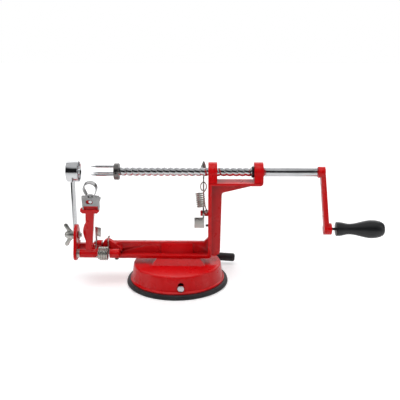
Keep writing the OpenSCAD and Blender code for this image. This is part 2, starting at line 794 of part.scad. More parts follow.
module wing_nut() {
    wing_t = 2.4;
    wing_r = 12.4;
    color(ZINC) difference() {
        union() {
            rod_x(nut_left, bolt_y, bolt_z, nut_r, nut_l);
            for (s = [1, -1]) translate([nut_left, bolt_y, bolt_z]) rotate([s > 0 ? 0 : 180, 0, 0])
                along_y(-wing_t / 2, wing_t) polygon(concat(
                    [[nut_l - 0.8, 0], [nut_l - 0.8, 4.6], [0.6, wing_r - 0.7]],
                    arc(-0.8, wing_r - 2, 1.9, 40, 220, 8),
                    [[nut_l - 5.4, 4.2], [0.4, 3.4], [0.4, 0]]));
        }
        rod_x(nut_left - 1, bolt_y, bolt_z, bolt_r + run_fit, nut_l + 2);
    }
}

/* ---- Peeling arm ---- */

// Puts a piece of the arm's own frame in its place, at the rest lean.
module on_arm() {
    translate([0, pivot_y, pivot_z]) rotate([arm_lean, 0, 0]) children();
}

module peel_arm() {
    chamfer = 2;
    half_w = head_w / 2;
    half_stem = stem_w / 2;
    head_low = arm_l - head_h;
    color(RED) on_arm() difference() {
        union() {
            rod_x(arm_hub_left, 0, 0, arm_hub_r, arm_hub_l);
            // Slanted stem, filleted into the hub on its right
            along_y(-stem_t / 2, stem_t) polygon(concat(
                [[foot_x - half_stem, 0], [arm_hub_right - 0.3, 0]],
                arc(arm_hub_right - 0.3, 8.5, 5, -90, -180, 8),
                [[head_x + half_stem, head_low + 0.5], [head_x - half_stem, head_low + 0.5]]));
            along_y(-stem_t / 2, stem_t)
                polygon([[head_x - half_w, arm_l], [head_x + half_w, arm_l],
                         [head_x + half_w, head_low + chamfer], [head_x + half_w - chamfer, head_low],
                         [head_x - half_w + chamfer, head_low], [head_x - half_w, head_low + chamfer]]);
            translate([clip_x - block_w / 2, block_set - stem_t / 2, arm_l - 1])
                cube([block_w, stem_t - block_set, block_h + 1]);
            // Fin that stiffens the stem on its left
            translate([foot_x, 0, 0]) rotate([0, 0, -fin_turn])
                along_y(-0.6, fin_t) polygon(concat([[0, fin_low - 1]],
                    [for (i = [0 : 12]) [1.6 - half_stem - fin_out * sin(15 * i), fin_low + 2 * i]],
                    [[2, fin_low + 24]]));
        }
        rod_x(arm_hub_left - 1, 0, 0, pin_r + run_fit, arm_hub_l + 2);
        rod_x(arm_hub_right - 3, arm_leg_r * cos(arm_coil_start - arm_lean),
            arm_leg_r * sin(arm_coil_start - arm_lean), arm_leg_hole, 4);
        rod_y(clip_x, -stem_t, clip_screw_s, 1.25, 3 * stem_t);
    }
}

// The sheet steel saddle that straddles the arm's block and carries the loop.
module blade_clip() {
    left = clip_x - clip_w / 2 - clip_t;
    full_w = clip_w + 2 * clip_t;
    ear = 2.6;
    color(CHROME) on_arm() {
        along_y(clip_front, clip_t) difference() {
            round_rect(left, clip_bottom, full_w, clip_plate_h, 1.4);
            round_rect(clip_x - 4.4, clip_screw_s - 2.1, 6.8, 4.2, 1.8);
        }
        for (x = [left, left + full_w - clip_t])
            translate([x, clip_front, clip_bottom - clip_leg])
                cube([clip_t, stem_t, clip_leg + clip_plate_h - 2]);
        translate([left + full_w - clip_t, clip_front, clip_bottom + clip_plate_h - 5])
            rotate([0, 18, 0]) cube([ear, clip_t, 4]);
    }
}

module loop_outline() {
    translate([loop_x, 0]) difference() {
        link([0, loop_s], loop_r, [0, loop_foot_s], loop_foot_r);
        link([0, loop_s], loop_r - loop_t, [0, loop_foot_s], loop_foot_r - loop_t);
    }
}

module peel_blade() {
    hole_s = loop_foot_s - 3.6;
    color(CHROME) on_arm() {
        difference() {
            along_y(-loop_w / 2 - 0.6, loop_w) loop_outline();
            translate([loop_x - loop_d, clip_front, 0])
                cube([2 * loop_d, loop_w, clip_bottom + clip_plate_h + gap]);
        }
        along_y(clip_front - 1, 1) difference() {
            intersection_for(k = [-1, 1])
                translate([loop_x, loop_foot_s - 2.3 + 2.05 * k]) circle(5, $fn = fine);
            translate([loop_x, hole_s]) circle(0.9, $fn = 32);
        }
    }
}

module clip_screw() {
    color(ZINC) on_arm() {
        rod_y(clip_x, clip_front + 0.4, clip_screw_s, 1.7, clip_t - 0.4);
        rod_y(clip_x, clip_front + clip_t, clip_screw_s, 1.25, stem_t + 1.6);
    }
}

module clip_nut() {
    color(ZINC) on_arm() difference() {
        translate([clip_x, stem_t / 2, clip_screw_s]) rotate([-90, 0, 0])
            cylinder(h = 2, r = 2.8, $fn = 6);
        rod_y(clip_x, -stem_t, clip_screw_s, 1.25, 3 * stem_t);
    }
}

module pivot_pin() {
    color(ZINC) rod_x(post_x, pivot_y, pivot_z, pin_r, right_lug_x + right_lug_t - 0.5 - post_x);
}

module pivot_washer() {
    color(ZINC) difference() {
        rod_x(post_right + 0.1, pivot_y, pivot_z, 4.4, hub_gap - 0.3);
        rod_x(post_right - 1, pivot_y, pivot_z, pin_r, hub_gap + 2);
    }
}

module pivot_set_screw() {
    color(BLACK) translate([set_screw_x, pivot_y, pivot_z - pin_r - 0.05 - 3.6])
        cylinder(h = 3.6, r = 2, $fn = 48);
}

// Torsion spring: one leg in the arm's hub, the other up through the frame's lug.
module peel_arm_spring() {
    start = arm_coil_start;
    steps = 16 * arm_coil_turns;
    sweep = -360 * arm_coil_turns - start;
    coil = [for (i = [0 : steps]) let (a = start + sweep * i / steps)
        [arm_coil_left + (arm_coil_pitch * arm_coil_turns) * i / steps,
         pivot_y + arm_coil_r * cos(a), pivot_z + arm_coil_r * sin(a)]];
    hub_leg = [for (x = [arm_hub_right - 1.6, arm_hub_right + 0.2])
        [x, pivot_y + arm_leg_r * cos(start), pivot_z + arm_leg_r * sin(start)]];
    leg_x = coil[steps][0];
    lug_leg = [[leg_x - 0.6, pivot_y + arm_coil_r + 1, pivot_z + 3],
               [spring_lug_x + 1, pivot_y + arm_coil_r + 2.1, spring_lug_z - 4],
               [spring_lug_x + 1, pivot_y + arm_coil_r + 2.1, spring_lug_z + spring_lug_r + 1],
               [spring_lug_x + 2.4, pivot_y + arm_coil_r + 2.1, spring_lug_z + spring_lug_r + 4.6]];
    color(ZINC) wire(concat(hub_leg, coil, lug_leg), arm_wire_r, [0, 0, 1]);
}

/* ---- Arm latch ---- */

module arm_latch() {
    nose = [pivot_y, pivot_z] + (arm_hub_r + latch_nose_gap + 1)
        * unit([latch_y - 1.5 - pivot_y, latch_z - 2.4 - pivot_z]);
    color(STEEL) difference() {
        union() {
            along_x(latch_x, plate_t) union() {
                translate([latch_y, latch_z]) circle(3.4, $fn = fine);
                link([latch_y, latch_z], 2, nose, 1);
                translate([latch_y - 0.4, latch_z])
                    square([3, latch_tab_z + latch_tab_h - latch_z - 1]);
            }
            along_y(latch_y - 0.4, plate_t - 0.3) polygon([[latch_x, latch_tab_z],
                [latch_x + latch_tab_w - 0.8, latch_tab_z - 1.6],
                [latch_x + latch_tab_w, latch_tab_z + latch_tab_h - 1.6],
                [latch_x, latch_tab_z + latch_tab_h]]);
        }
        rod_x(latch_x - 1, latch_y, latch_z, 1.5 + run_fit, plate_t + 2);
    }
}

module latch_pin() {
    head_t = 1.2;
    color(ZINC) {
        rod_x(latch_x, latch_y, latch_z, 1.5, plate_t + gap + latch_lug_t);
        rod_x(latch_x - head_t - 0.1, latch_y, latch_z, 2.6, head_t + 0.1);
    }
}

/* ---- Shaft release ---- */

module release_outline() {
    back = shaft_r + 1.6;
    tooth_y = thread_core_r - thread_depth / 2 + tooth_gap;
    difference() {
        union() {
            translate([release_y, release_z]) circle(release_hub_r, $fn = fine);
            link([release_y, release_z], 3.6, [back + 1.6, hook_z], 3.2);
            translate([hook_y, hook_z - 2.2]) square([back - hook_y, 4.4]);
            translate([hook_y, hook_z]) circle(2.2, $fn = fine);
            link([back + 1.8, hook_z], 2.8, [back + 1.4, shaft_z + 6.6], 1.8);
            translate([tooth_y, shaft_z - 1.8]) square([back + 1 - tooth_y, 3.6]);
            translate([release_y - 4, release_z - 4 - tab_h]) square([6, tab_h + 2]);
        }
        translate([hook_y, hook_z]) circle(1.1, $fn = 32);
    }
}

module release_plate() {
    ear_w = 6.4;
    back = shaft_r + 1.6;
    ear_z = shaft_z + 2.4;
    color(STEEL) difference() {
        union() {
            along_x(plate_x, plate_t) release_outline();
            along_y(back + 0.6, plate_t) polygon([[plate_x - 2.6, ear_z],
                [plate_x + ear_w - 2.8, ear_z], [plate_x + ear_w - 3.6, ear_z + 3.4],
                [plate_x + 1.5, ear_z + 7.2], [plate_x + 0.3, ear_z + 7.2]]);
            translate([plate_x - tab_l, release_y - 4, release_z - 4 - tab_h])
                cube([tab_l + plate_t, plate_t, tab_h]);
        }
        rod_x(plate_x - 1, release_y, release_z, release_pin_r + run_fit, plate_t + 2);
    }
}

// The painted rivet that the release plate turns on.
module release_pivot() {
    head_t = 2.2;
    color(RED) {
        rod_x(plate_x - gap / 2 - head_t, release_y, release_z, 3, head_t);
        rod_x(plate_x - gap / 2 - 0.1, release_y, release_z, release_pin_r, 8.4);
    }
}

// Extension spring between the release plate's hook and the peg on the column.
module release_spring() {
    turns = 7;
    per_turn = 14;
    coil_r = release_spring_d / 2 - spring_wire_r;
    axis = spring_bottom - spring_top;
    down = unit(axis);
    front = unit(cross(down, [1, 0, 0]));
    right = cross(front, down);
    hook = [plate_x + plate_t / 2, hook_y, hook_z];
    upper = [for (i = [0 : 10]) let (a = 250 - 320 * i / 10)
        hook + [3 * cos(a), 0, -4.2 + 4.6 * sin(a)]];
    coil = [for (i = [0 : turns * per_turn]) let (a = 360 * i / per_turn)
        spring_top + axis * i / (turns * per_turn) + coil_r * (cos(a) * right + sin(a) * front)];
    tail = spring_bottom + coil_r * right;
    peg = [column_x - 1.6, peg_y, peg_z];
    lower = concat([tail + [0.4, 0, -1.6]],
        [for (a = [45 : -36 : -207]) peg + peg_hook_r * [0, cos(a), sin(a)]]);
    color(ZINC) wire(concat(upper, [hook + [1.6, -1.2, -8]], coil, lower), spring_wire_r, [0, 1, 0]);
}

module spring_peg() {
    color(ZINC) {
        rod_x(column_x - 3, peg_y, peg_z, peg_r, 6);
        rod_x(column_x - 3.5, peg_y, peg_z, peg_r + 0.5, 0.7);
    }
}

module stop_pin() {
    color(BLACK) rod_x(column_x - 2.4, -4, release_z - 12.2, 1.2, 5);
}

suction_cup();
cup_plate();
cup_stem();
base_dome();
base_screws();
lever_axle();
lever_grip();
axle_clip();
frame_casting();
rear_bush();
drive_shaft();
fork_hub();
fork_tines();
hub_pin();
crank_arm();
crank_set_screw();
handle_bolt();
handle_washer();
handle_grip();
slicing_blade();
coring_ring();
blade_bolt();
blade_washer();
wing_nut();
peel_arm();
blade_clip();
peel_blade();
clip_screw();
clip_nut();
pivot_pin();
pivot_washer();
pivot_set_screw();
peel_arm_spring();
arm_latch();
latch_pin();
release_plate();
release_pivot();
release_spring();
spring_peg();
stop_pin();
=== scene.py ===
"""The visual model of an apple peeler corer on a suction base, in metres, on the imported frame."""

import logging
from dataclasses import dataclass
from enum import Enum
from math import cos, pi, radians, sin
from typing import Callable, Sequence

import bmesh
import bpy
from mathutils import Matrix, Vector


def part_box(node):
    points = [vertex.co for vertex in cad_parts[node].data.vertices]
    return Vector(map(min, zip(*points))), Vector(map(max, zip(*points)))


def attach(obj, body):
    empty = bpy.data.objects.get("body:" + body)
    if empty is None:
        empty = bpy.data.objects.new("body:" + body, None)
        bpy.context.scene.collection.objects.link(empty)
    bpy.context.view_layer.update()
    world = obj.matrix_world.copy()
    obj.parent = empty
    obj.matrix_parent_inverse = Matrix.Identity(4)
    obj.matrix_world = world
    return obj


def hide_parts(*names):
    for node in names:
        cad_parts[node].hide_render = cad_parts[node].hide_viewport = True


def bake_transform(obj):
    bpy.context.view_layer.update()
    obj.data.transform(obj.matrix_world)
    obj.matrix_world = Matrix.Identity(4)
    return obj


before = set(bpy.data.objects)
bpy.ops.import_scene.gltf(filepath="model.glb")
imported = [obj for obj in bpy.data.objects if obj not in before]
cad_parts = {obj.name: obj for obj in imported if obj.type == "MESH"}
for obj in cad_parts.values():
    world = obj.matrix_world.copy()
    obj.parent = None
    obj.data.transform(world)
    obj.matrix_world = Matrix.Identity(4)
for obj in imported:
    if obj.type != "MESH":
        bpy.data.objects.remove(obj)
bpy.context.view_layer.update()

log = logging.getLogger("peeler")

Point = tuple[float, float, float]
Colour = tuple[float, float, float]
Value = float | bpy.types.NodeSocket
Tone = tuple[float, float, float, float] | bpy.types.NodeSocket

MM = 0.001


# ---------------------------------------------------------------- node trees


class Tree:
    """A node tree with short calls for adding and joining nodes."""

    def __init__(self, tree: bpy.types.NodeTree) -> None:
        """Takes over a node tree and empties it."""
        self.tree = tree
        self.tree.nodes.clear()

    def add(self, kind: str, inputs: dict | None = None, **settings) -> bpy.types.Node:
        """Adds a node.

        Args:
            kind: The node's type, such as "ShaderNodeBump".
            inputs: Values or output sockets by input name or number.
            **settings: The node's own properties.

        Returns:
            The new node.
        """
        node = self.tree.nodes.new(kind)
        for key, value in settings.items():
            setattr(node, key, value)
        for key, value in (inputs or {}).items():
            if isinstance(value, bpy.types.NodeSocket):
                self.tree.links.new(value, node.inputs[key])
            else:
                node.inputs[key].default_value = value
        return node

    def maths(self, operation: str, *values: Value) -> bpy.types.NodeSocket:
        """Adds a Math node."""
        node = self.add("ShaderNodeMath", dict(enumerate(values)), operation=operation)
        return node.outputs[0]

    def spread(self, value: bpy.types.NodeSocket, low: float, high: float, to_low: float,
               to_high: float) -> bpy.types.NodeSocket:
        """Maps a value from one span to another, clamped."""
        node = self.add("ShaderNodeMapRange", {0: value, 1: low, 2: high, 3: to_low, 4: to_high})
        return node.outputs[0]

    def blend(self, factor: Value, first: Tone, second: Tone) -> bpy.types.NodeSocket:
        """Mixes two colours."""
        node = self.add("ShaderNodeMix", {0: factor, 6: first, 7: second}, data_type="RGBA")
        return node.outputs[2]


def rgba(colour: Colour) -> tuple[float, float, float, float]:
    """Returns the colour with full alpha."""
    return (*colour, 1.0)


def screen(red: int, green: int, blue: int) -> Colour:
    """Turns a screen colour into a linear one.

    Args:
        red: Red from 0 to 255.
        green: Green from 0 to 255.
        blue: Blue from 0 to 255.

    Returns:
        The linear colour.
    """

    def linear(value: int) -> float:
        """Undoes the screen's curve for one channel."""
        share = value / 255
        return share / 12.92 if share <= 0.04045 else ((share + 0.055) / 1.055) ** 2.4

    return linear(red), linear(green), linear(blue)


# ---------------------------------------------------------------- finishes


# How dark the painted shade in corners and recesses gets, as a share of a finish's colour
SHADED_SHARE = 0.30
WHITE = (1.0, 1.0, 1.0, 1.0)


class Grain(Enum):
    """Which way a metal's fine scratches run."""

    NONE = (1.0, 1.0, 1.0)
    ROUND_X = (40.0, 1.0, 1.0)
    ALONG_X = (0.04, 1.0, 1.0)
    ALONG_Z = (1.0, 1.0, 0.04)


@dataclass(frozen=True)
class Finish:
    """A surface finish: its colour with slow patches, its fine relief, its edges and its gloss."""

    name: str
    slot: str
    colour: Colour
    patch: Colour
    # The lighter colour at edges: partly rubbed finish, partly painted highlight
    edge: Colour
    roughness: float
    roughness_swing: float = 0.06
    metallic: float = 0.0
    coat: float = 0.0
    coat_roughness: float = 0.05
    specular: float = 0.5
    patch_scale: float = 45.0
    relief_scale: float = 900.0
    relief: float = 0.05
    relief_depth: float = 0.00002
    edge_reach: float = 0.0005
    edge_share: float = 0.5
    edge_break: float = 260.0
    # Painted shade: how strongly and how far ambient occlusion darkens corners and recesses
    corner_shade: float = 0.0
    corner_shade_reach: float = 0.016
    grain: Grain = Grain.NONE

    def patches(self, tree: Tree, place: bpy.types.NodeSocket) -> bpy.types.NodeSocket:
        """Colours the surface with slow, faint patches.

        Args:
            tree: The material's tree.
            place: The coordinates.

        Returns:
            The colour socket.
        """
        cloud = tree.add("ShaderNodeTexNoise", {
            "Vector": place, "Scale": self.patch_scale, "Detail": 4.0, "Roughness": 0.55})
        share = tree.spread(cloud.outputs[0], 0.36, 0.66, 0.0, 1.0)
        return tree.blend(share, rgba(self.colour), rgba(self.patch))

    def edges(self, tree: Tree, place: bpy.types.NodeSocket) -> bpy.types.NodeSocket:
        """Finds the edges, broken up by a noise, for a lighter edge colour that is partly rubbed
        finish and partly painted highlight.

        Args:
            tree: The material's tree.
            place: The coordinates.

        Returns:
            The strength of the lighter edge colour, from 0 to edge_share.
        """
        rounded = tree.add("ShaderNodeBevel", {"Radius": self.edge_reach}, samples=4)
        flat = tree.add("ShaderNodeNewGeometry")
        alike = tree.add("ShaderNodeVectorMath", operation="DOT_PRODUCT",
                         inputs={0: rounded.outputs[0], 1: flat.outputs["Normal"]})
        bend = tree.spread(alike.outputs["Value"], 0.97, 0.80, 0.0, 1.0)
        nicks = tree.add("ShaderNodeTexNoise", {
            "Vector": place, "Scale": self.edge_break, "Detail": 3.0})
        broken = tree.spread(nicks.outputs[0], 0.38, 0.62, 0.15, 1.0)
        return tree.maths("MULTIPLY", tree.maths("MULTIPLY", bend, broken), self.edge_share)

    def corners(self, tree: Tree, colour: bpy.types.NodeSocket) -> bpy.types.NodeSocket:
        """Darkens the colour in corners and recesses as painted shade, where ambient occlusion
        finds them.

        Args:
            tree: The material's tree.
            colour: The colour so far.

        Returns:
            The colour socket.
        """
        if not self.corner_shade:
            return colour
        # Painted shade: ambient occlusion darkens the colour in corners and recesses
        hollow = tree.add("ShaderNodeAmbientOcclusion", {"Distance": self.corner_shade_reach},
                          samples=6, only_local=True)
        share = tree.spread(hollow.outputs["AO"], 0.40, 0.97, self.corner_shade, 0.0)
        shaded = rgba(tuple(SHADED_SHARE * value for value in self.colour))
        return tree.blend(share, colour, shaded)

    def build(self) -> bpy.types.Material:
        """Builds the material.

        Returns:
            The finished material.
        """
        material = bpy.data.materials.new(self.name)
        material.use_nodes = True
        tree = Tree(material.node_tree)
        where = tree.add("ShaderNodeTexCoord")
        place = where.outputs["Object"]
        stretched = tree.add("ShaderNodeMapping", {"Vector": place, "Scale": self.grain.value})
        grainy = tree.add("ShaderNodeTexNoise", {
            "Vector": stretched.outputs[0], "Scale": self.relief_scale, "Detail": 3.0,
            "Roughness": 0.6})
        bump = tree.add("ShaderNodeBump", {
            "Height": grainy.outputs[0], "Strength": self.relief, "Distance": self.relief_depth})
        # Lighter edges, partly rubbed finish and partly painted highlight; the same mask also
        # raises the roughness
        edge_wear_and_highlight = self.edges(tree, place)
        worn_and_lit = tree.blend(edge_wear_and_highlight, self.patches(tree, place), rgba(self.edge))
        # Painted shade in corners and recesses
        colour = self.corners(tree, worn_and_lit)
        smear = tree.add("ShaderNodeTexNoise", {
            "Vector": stretched.outputs[0], "Scale": self.patch_scale * 2.2, "Detail": 5.0})
        rough = tree.spread(smear.outputs[0], 0.3, 0.7, self.roughness - self.roughness_swing,
                            self.roughness + self.roughness_swing)
        rough = tree.maths("ADD", rough, tree.maths("MULTIPLY", edge_wear_and_highlight, 0.15))
        shader = tree.add("ShaderNodeBsdfPrincipled", {
            "Base Color": colour, "Roughness": rough, "Metallic": self.metallic,
            "Normal": bump.outputs[0], "Coat Weight": self.coat,
            "Coat Roughness": self.coat_roughness, "Specular IOR Level": self.specular})
        tree.add("ShaderNodeOutputMaterial", {"Surface": shader.outputs[0]})
        return material


# The enamel darkens in corners and recesses as painted shade
ENAMEL = Finish(
    name="red_enamel", slot="red_paint", colour=screen(224, 10, 17), patch=screen(216, 9, 15),
    edge=screen(242, 44, 44), roughness=0.28, roughness_swing=0.02, coat=0.18, coat_roughness=0.08,
    specular=0.28, patch_scale=30.0, relief_scale=420.0, relief=0.05, relief_depth=0.00003,
    edge_share=0.45, corner_shade=0.85)
CHROME = Finish(
    name="polished_chrome", slot="bright_steel", colour=(0.78, 0.79, 0.80),
    patch=(0.70, 0.71, 0.73), edge=(0.86, 0.86, 0.87), roughness=0.12, roughness_swing=0.04,
    metallic=1.0, patch_scale=70.0, relief_scale=700.0, relief=0.03, edge_reach=0.0003,
    edge_share=0.4)
TURNED = Finish(
    name="turned_steel", slot="shaft_steel", colour=(0.74, 0.75, 0.76), patch=(0.64, 0.65, 0.66),
    edge=(0.78, 0.78, 0.79), roughness=0.20, roughness_swing=0.06, metallic=1.0, patch_scale=60.0,
    relief_scale=260.0, relief=0.06, edge_reach=0.0003, edge_share=0.4, grain=Grain.ROUND_X)
HUB_STEEL = Finish(
    name="grey_steel", slot="shaft_steel", colour=(0.27, 0.26, 0.25), patch=(0.17, 0.165, 0.16),
    edge=(0.62, 0.62, 0.62), roughness=0.30, metallic=1.0, patch_scale=120.0, relief_scale=900.0,
    relief=0.08, edge_reach=0.0004, edge_share=0.6, grain=Grain.ROUND_X)
ZINC = Finish(
    name="zinc_plate", slot="zinc_plate", colour=(0.62, 0.61, 0.57), patch=(0.50, 0.49, 0.46),
    edge=(0.80, 0.79, 0.76), roughness=0.32, roughness_swing=0.08, metallic=1.0, patch_scale=140.0,
    relief_scale=1300.0, relief=0.12, relief_depth=0.00003, edge_reach=0.0004, edge_share=0.6)
SPRING_STEEL = Finish(
    name="spring_wire", slot="bright_steel", colour=(0.64, 0.62, 0.57), patch=(0.52, 0.50, 0.46),
    edge=(0.80, 0.78, 0.74), roughness=0.22, metallic=1.0, patch_scale=200.0, relief_scale=1800.0,
    relief=0.05, edge_reach=0.0002, edge_share=0.3)
# The pressed steel darkens in its corners and recesses as painted shade, over a short reach
PRESSED = Finish(
    name="pressed_steel", slot="bright_steel", colour=(0.40, 0.40, 0.40), patch=(0.30, 0.30, 0.30),
    edge=(0.80, 0.80, 0.80), roughness=0.24, roughness_swing=0.06, metallic=1.0, patch_scale=90.0,
    relief_scale=900.0, relief=0.05, edge_reach=0.0004, edge_share=0.6, corner_shade=0.6,
    corner_shade_reach=0.004)
DARK_STEEL = Finish(
    name="blackened_steel", slot="shaft_steel", colour=(0.035, 0.035, 0.038),
    patch=(0.05, 0.045, 0.045), edge=(0.30, 0.30, 0.30), roughness=0.38, metallic=0.6,
    patch_scale=150.0, relief_scale=1500.0, relief=0.10, edge_reach=0.0003, edge_share=0.5)
RUBBER = Finish(
    name="cup_rubber", slot="black_rubber", colour=screen(34, 34, 36), patch=screen(44, 44, 46),
    edge=screen(66, 66, 68), roughness=0.50, roughness_swing=0.08, specular=0.45, patch_scale=60.0,
    relief_scale=1500.0, relief=0.20, relief_depth=0.00005, edge_reach=0.0006, edge_share=0.4)
PLASTIC = Finish(
    name="handle_plastic", slot="black_plastic", colour=screen(25, 26, 28),
    patch=screen(31, 32, 34), edge=screen(72, 73, 75), roughness=0.36, roughness_swing=0.05,
    specular=0.5, patch_scale=50.0,
    relief_scale=1200.0, relief=0.18, relief_depth=0.00004, edge_reach=0.0005, edge_share=0.4)


class Paints:
    """The finishes of this object, each built once."""

    def __init__(self) -> None:
        """Starts with nothing built."""
        self.built: dict[str, bpy.types.Material] = {}

    def of(self, finish: Finish) -> bpy.types.Material:
        """Returns the finish's material, built at its first use."""
        if finish.name not in self.built:
            self.built[finish.name] = finish.build()
        return self.built[finish.name]


paints = Paints()


# ---------------------------------------------------------------- pieces


class Workshop:
    """Turns meshes into named pieces that ride on a body and stand for CAD nodes."""

    @staticmethod
    def piece(name: str, mesh: bpy.types.Mesh, body: str, finish: Finish,
              nodes: Sequence[str] = (), sharp: float = 35.0,
              winds_to: tuple[str, Point, Point] | None = None) -> bpy.types.Object:
        """Makes a piece of the object.

        Args:
            name: The piece's name.
            mesh: Its mesh, in place.
            body: The CAD body that it rides on.
            finish: Its finish.
            nodes: The CAD nodes that it stands for.
            sharp: The angle in degrees past which an edge stays sharp.
            winds_to: For a spring that a joint winds, the other body, with the places where the
                spring leaves the first body and where it holds the second. When given, the piece is
                only baked in place and rides on no body; the body and the places are not used.

        Returns:
            The piece.
        """
        mesh.materials.clear()
        mesh.materials.append(paints.of(finish))
        mesh.polygons.foreach_set("material_index", [0] * len(mesh.polygons))
        mesh.shade_smooth()
        mesh.set_sharp_from_angle(angle=radians(sharp))
        piece = bpy.data.objects.new(name, mesh)
        bpy.context.scene.collection.objects.link(piece)
        if nodes:
            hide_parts(*nodes)
        if winds_to:
            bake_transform(piece)
        else:
            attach(piece, body)
        log.info("%s: %d faces on %s", name, len(mesh.polygons), body)
        return piece

    @staticmethod
    def dress(node: str, finish: Finish) -> None:
        """Gives a kept CAD node its finish.

        Args:
            node: The node's name.
            finish: Its finish.
        """
        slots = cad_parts[node].material_slots
        for place in slots:
            place.material = paints.of(finish)
        log.info("%s: kept, %s", node, finish.name)

    @staticmethod
    def copy_of(node: str) -> bpy.types.Mesh:
        """Copies a CAD node's mesh and welds its triangles.

        Args:
            node: The node's name.

        Returns:
            The welded copy.
        """
        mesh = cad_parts[node].data.copy()
        work = bmesh.new()
        work.from_mesh(mesh)
        bmesh.ops.remove_doubles(work, verts=work.verts, dist=2e-6)
        bmesh.ops.recalc_face_normals(work, faces=work.faces)
        work.to_mesh(mesh)
        work.free()
        return mesh

    @staticmethod
    def applied(mesh: bpy.types.Mesh, change: Callable[[bpy.types.Object], None]) -> bpy.types.Mesh:
        """Runs modifiers on a mesh and keeps the result.

        Args:
            mesh: The mesh to work on.
            change: Adds the modifiers to the object it is given.

        Returns:
            The evaluated mesh.
        """
        holder = bpy.data.objects.new("work", mesh)
        bpy.context.scene.collection.objects.link(holder)
        change(holder)
        ready = holder.evaluated_get(bpy.context.evaluated_depsgraph_get())
        result = bpy.data.meshes.new_from_object(ready)
        bpy.data.objects.remove(holder)
        return result

    @staticmethod
    def reuse(name: str, node: str, ease: float, steps: int, body: str, finish: Finish,
              sharp: float = 35.0) -> None:
        """Makes a piece from one CAD node, with its edges eased."""
        Workshop.piece(name, Workshop.eased(node, ease, steps), body, finish, [node], sharp)

    @staticmethod
    def eased(node: str, width: float, segments: int = 2, angle: float = 32.0) -> bpy.types.Mesh:
        """Copies a CAD node with its hard edges rounded.

        Args:
            node: The node's name.
            width: How far the rounding reaches from an edge, in metres.
            segments: The rounding's steps.
            angle: The least angle in degrees of an edge that is rounded.

        Returns:
            The rounded mesh.
        """
        mesh = Workshop.copy_of(node)
        work = bmesh.new()
        work.from_mesh(mesh)
        bmesh.ops.dissolve_limit(work, angle_limit=radians(0.6), verts=work.verts, edges=work.edges,
                                 delimit={"NORMAL"})
        bmesh.ops.remove_doubles(work, verts=work.verts, dist=8e-6)
        work.to_mesh(mesh)
        work.free()

        def round_edges(holder: bpy.types.Object) -> None:
            """Adds the bevel and the weld after it."""
            bevel = holder.modifiers.new("round", "BEVEL")
            bevel.width = width
            bevel.segments = segments
            bevel.limit_method = "ANGLE"
            bevel.angle_limit = radians(angle)
            bevel.use_clamp_overlap = True
            bevel.loop_slide = True
            bevel.miter_outer = "MITER_ARC"
            bevel.harden_normals = False
            weld = holder.modifiers.new("weld", "WELD")
            weld.merge_threshold = 4e-6

        return Workshop.applied(mesh, round_edges)


def turned(profile: Sequence[tuple[float, float]], steps: int = 96) -> bpy.types.Mesh:
    """Turns a closed or pole-to-pole profile about the Z axis.

    Args:
        profile: Points (radius, height), from the lower pole outwards and up to the upper pole.
        steps: The number of steps in a turn.

    Returns:
        The closed mesh.
    """
    work = bmesh.new()
    rings: list[list[bmesh.types.BMVert]] = []
    for radius, height in profile:
        if radius < 1e-7:
            rings.append([work.verts.new((0.0, 0.0, height))])
            continue
        turns = [2 * pi * k / steps for k in range(steps)]
        rings.append([work.verts.new((radius * cos(a), radius * sin(a), height)) for a in turns])
    for low, high in zip(rings, rings[1:]):
        for k in range(steps):
            after = (k + 1) % steps
            if len(low) == 1 and len(high) == 1:
                continue
            if len(low) == 1:
                work.faces.new((low[0], high[after], high[k]))
            elif len(high) == 1:
                work.faces.new((low[k], low[after], high[0]))
            else:
                work.faces.new((low[k], low[after], high[after], high[k]))
    bmesh.ops.recalc_face_normals(work, faces=work.faces)
    mesh = bpy.data.meshes.new("turned")
    work.to_mesh(mesh)
    work.free()
    return mesh


def ring_profile(profile: Sequence[tuple[float, float]]) -> list[tuple[float, float]]:
    """Closes a profile on itself, for a turned part with a hole."""
    return [*profile, profile[0]]


def close_holes(work: bmesh.types.BMesh) -> None:
    """Fills every open edge loop and turns the faces outwards."""
    bmesh.ops.holes_fill(work, edges=[e for e in work.edges if e.is_boundary], sides=0)
    bmesh.ops.recalc_face_normals(work, faces=work.faces)


def arc(centre: tuple[float, float], radius: float, start: float, stop: float,
        steps: int = 8) -> list[tuple[float, float]]:
    """Points on an arc.

    Args:
        centre: The arc's middle.
        radius: Its radius.
        start: The first angle, in degrees.
        stop: The last angle, in degrees.
        steps: The number of steps.

    Returns:
        The points.
    """
    turns = [radians(start + (stop - start) * i / steps) for i in range(steps + 1)]
    return [(centre[0] + radius * cos(a), centre[1] + radius * sin(a)) for a in turns]


# ---------------------------------------------------------------- geometry nodes


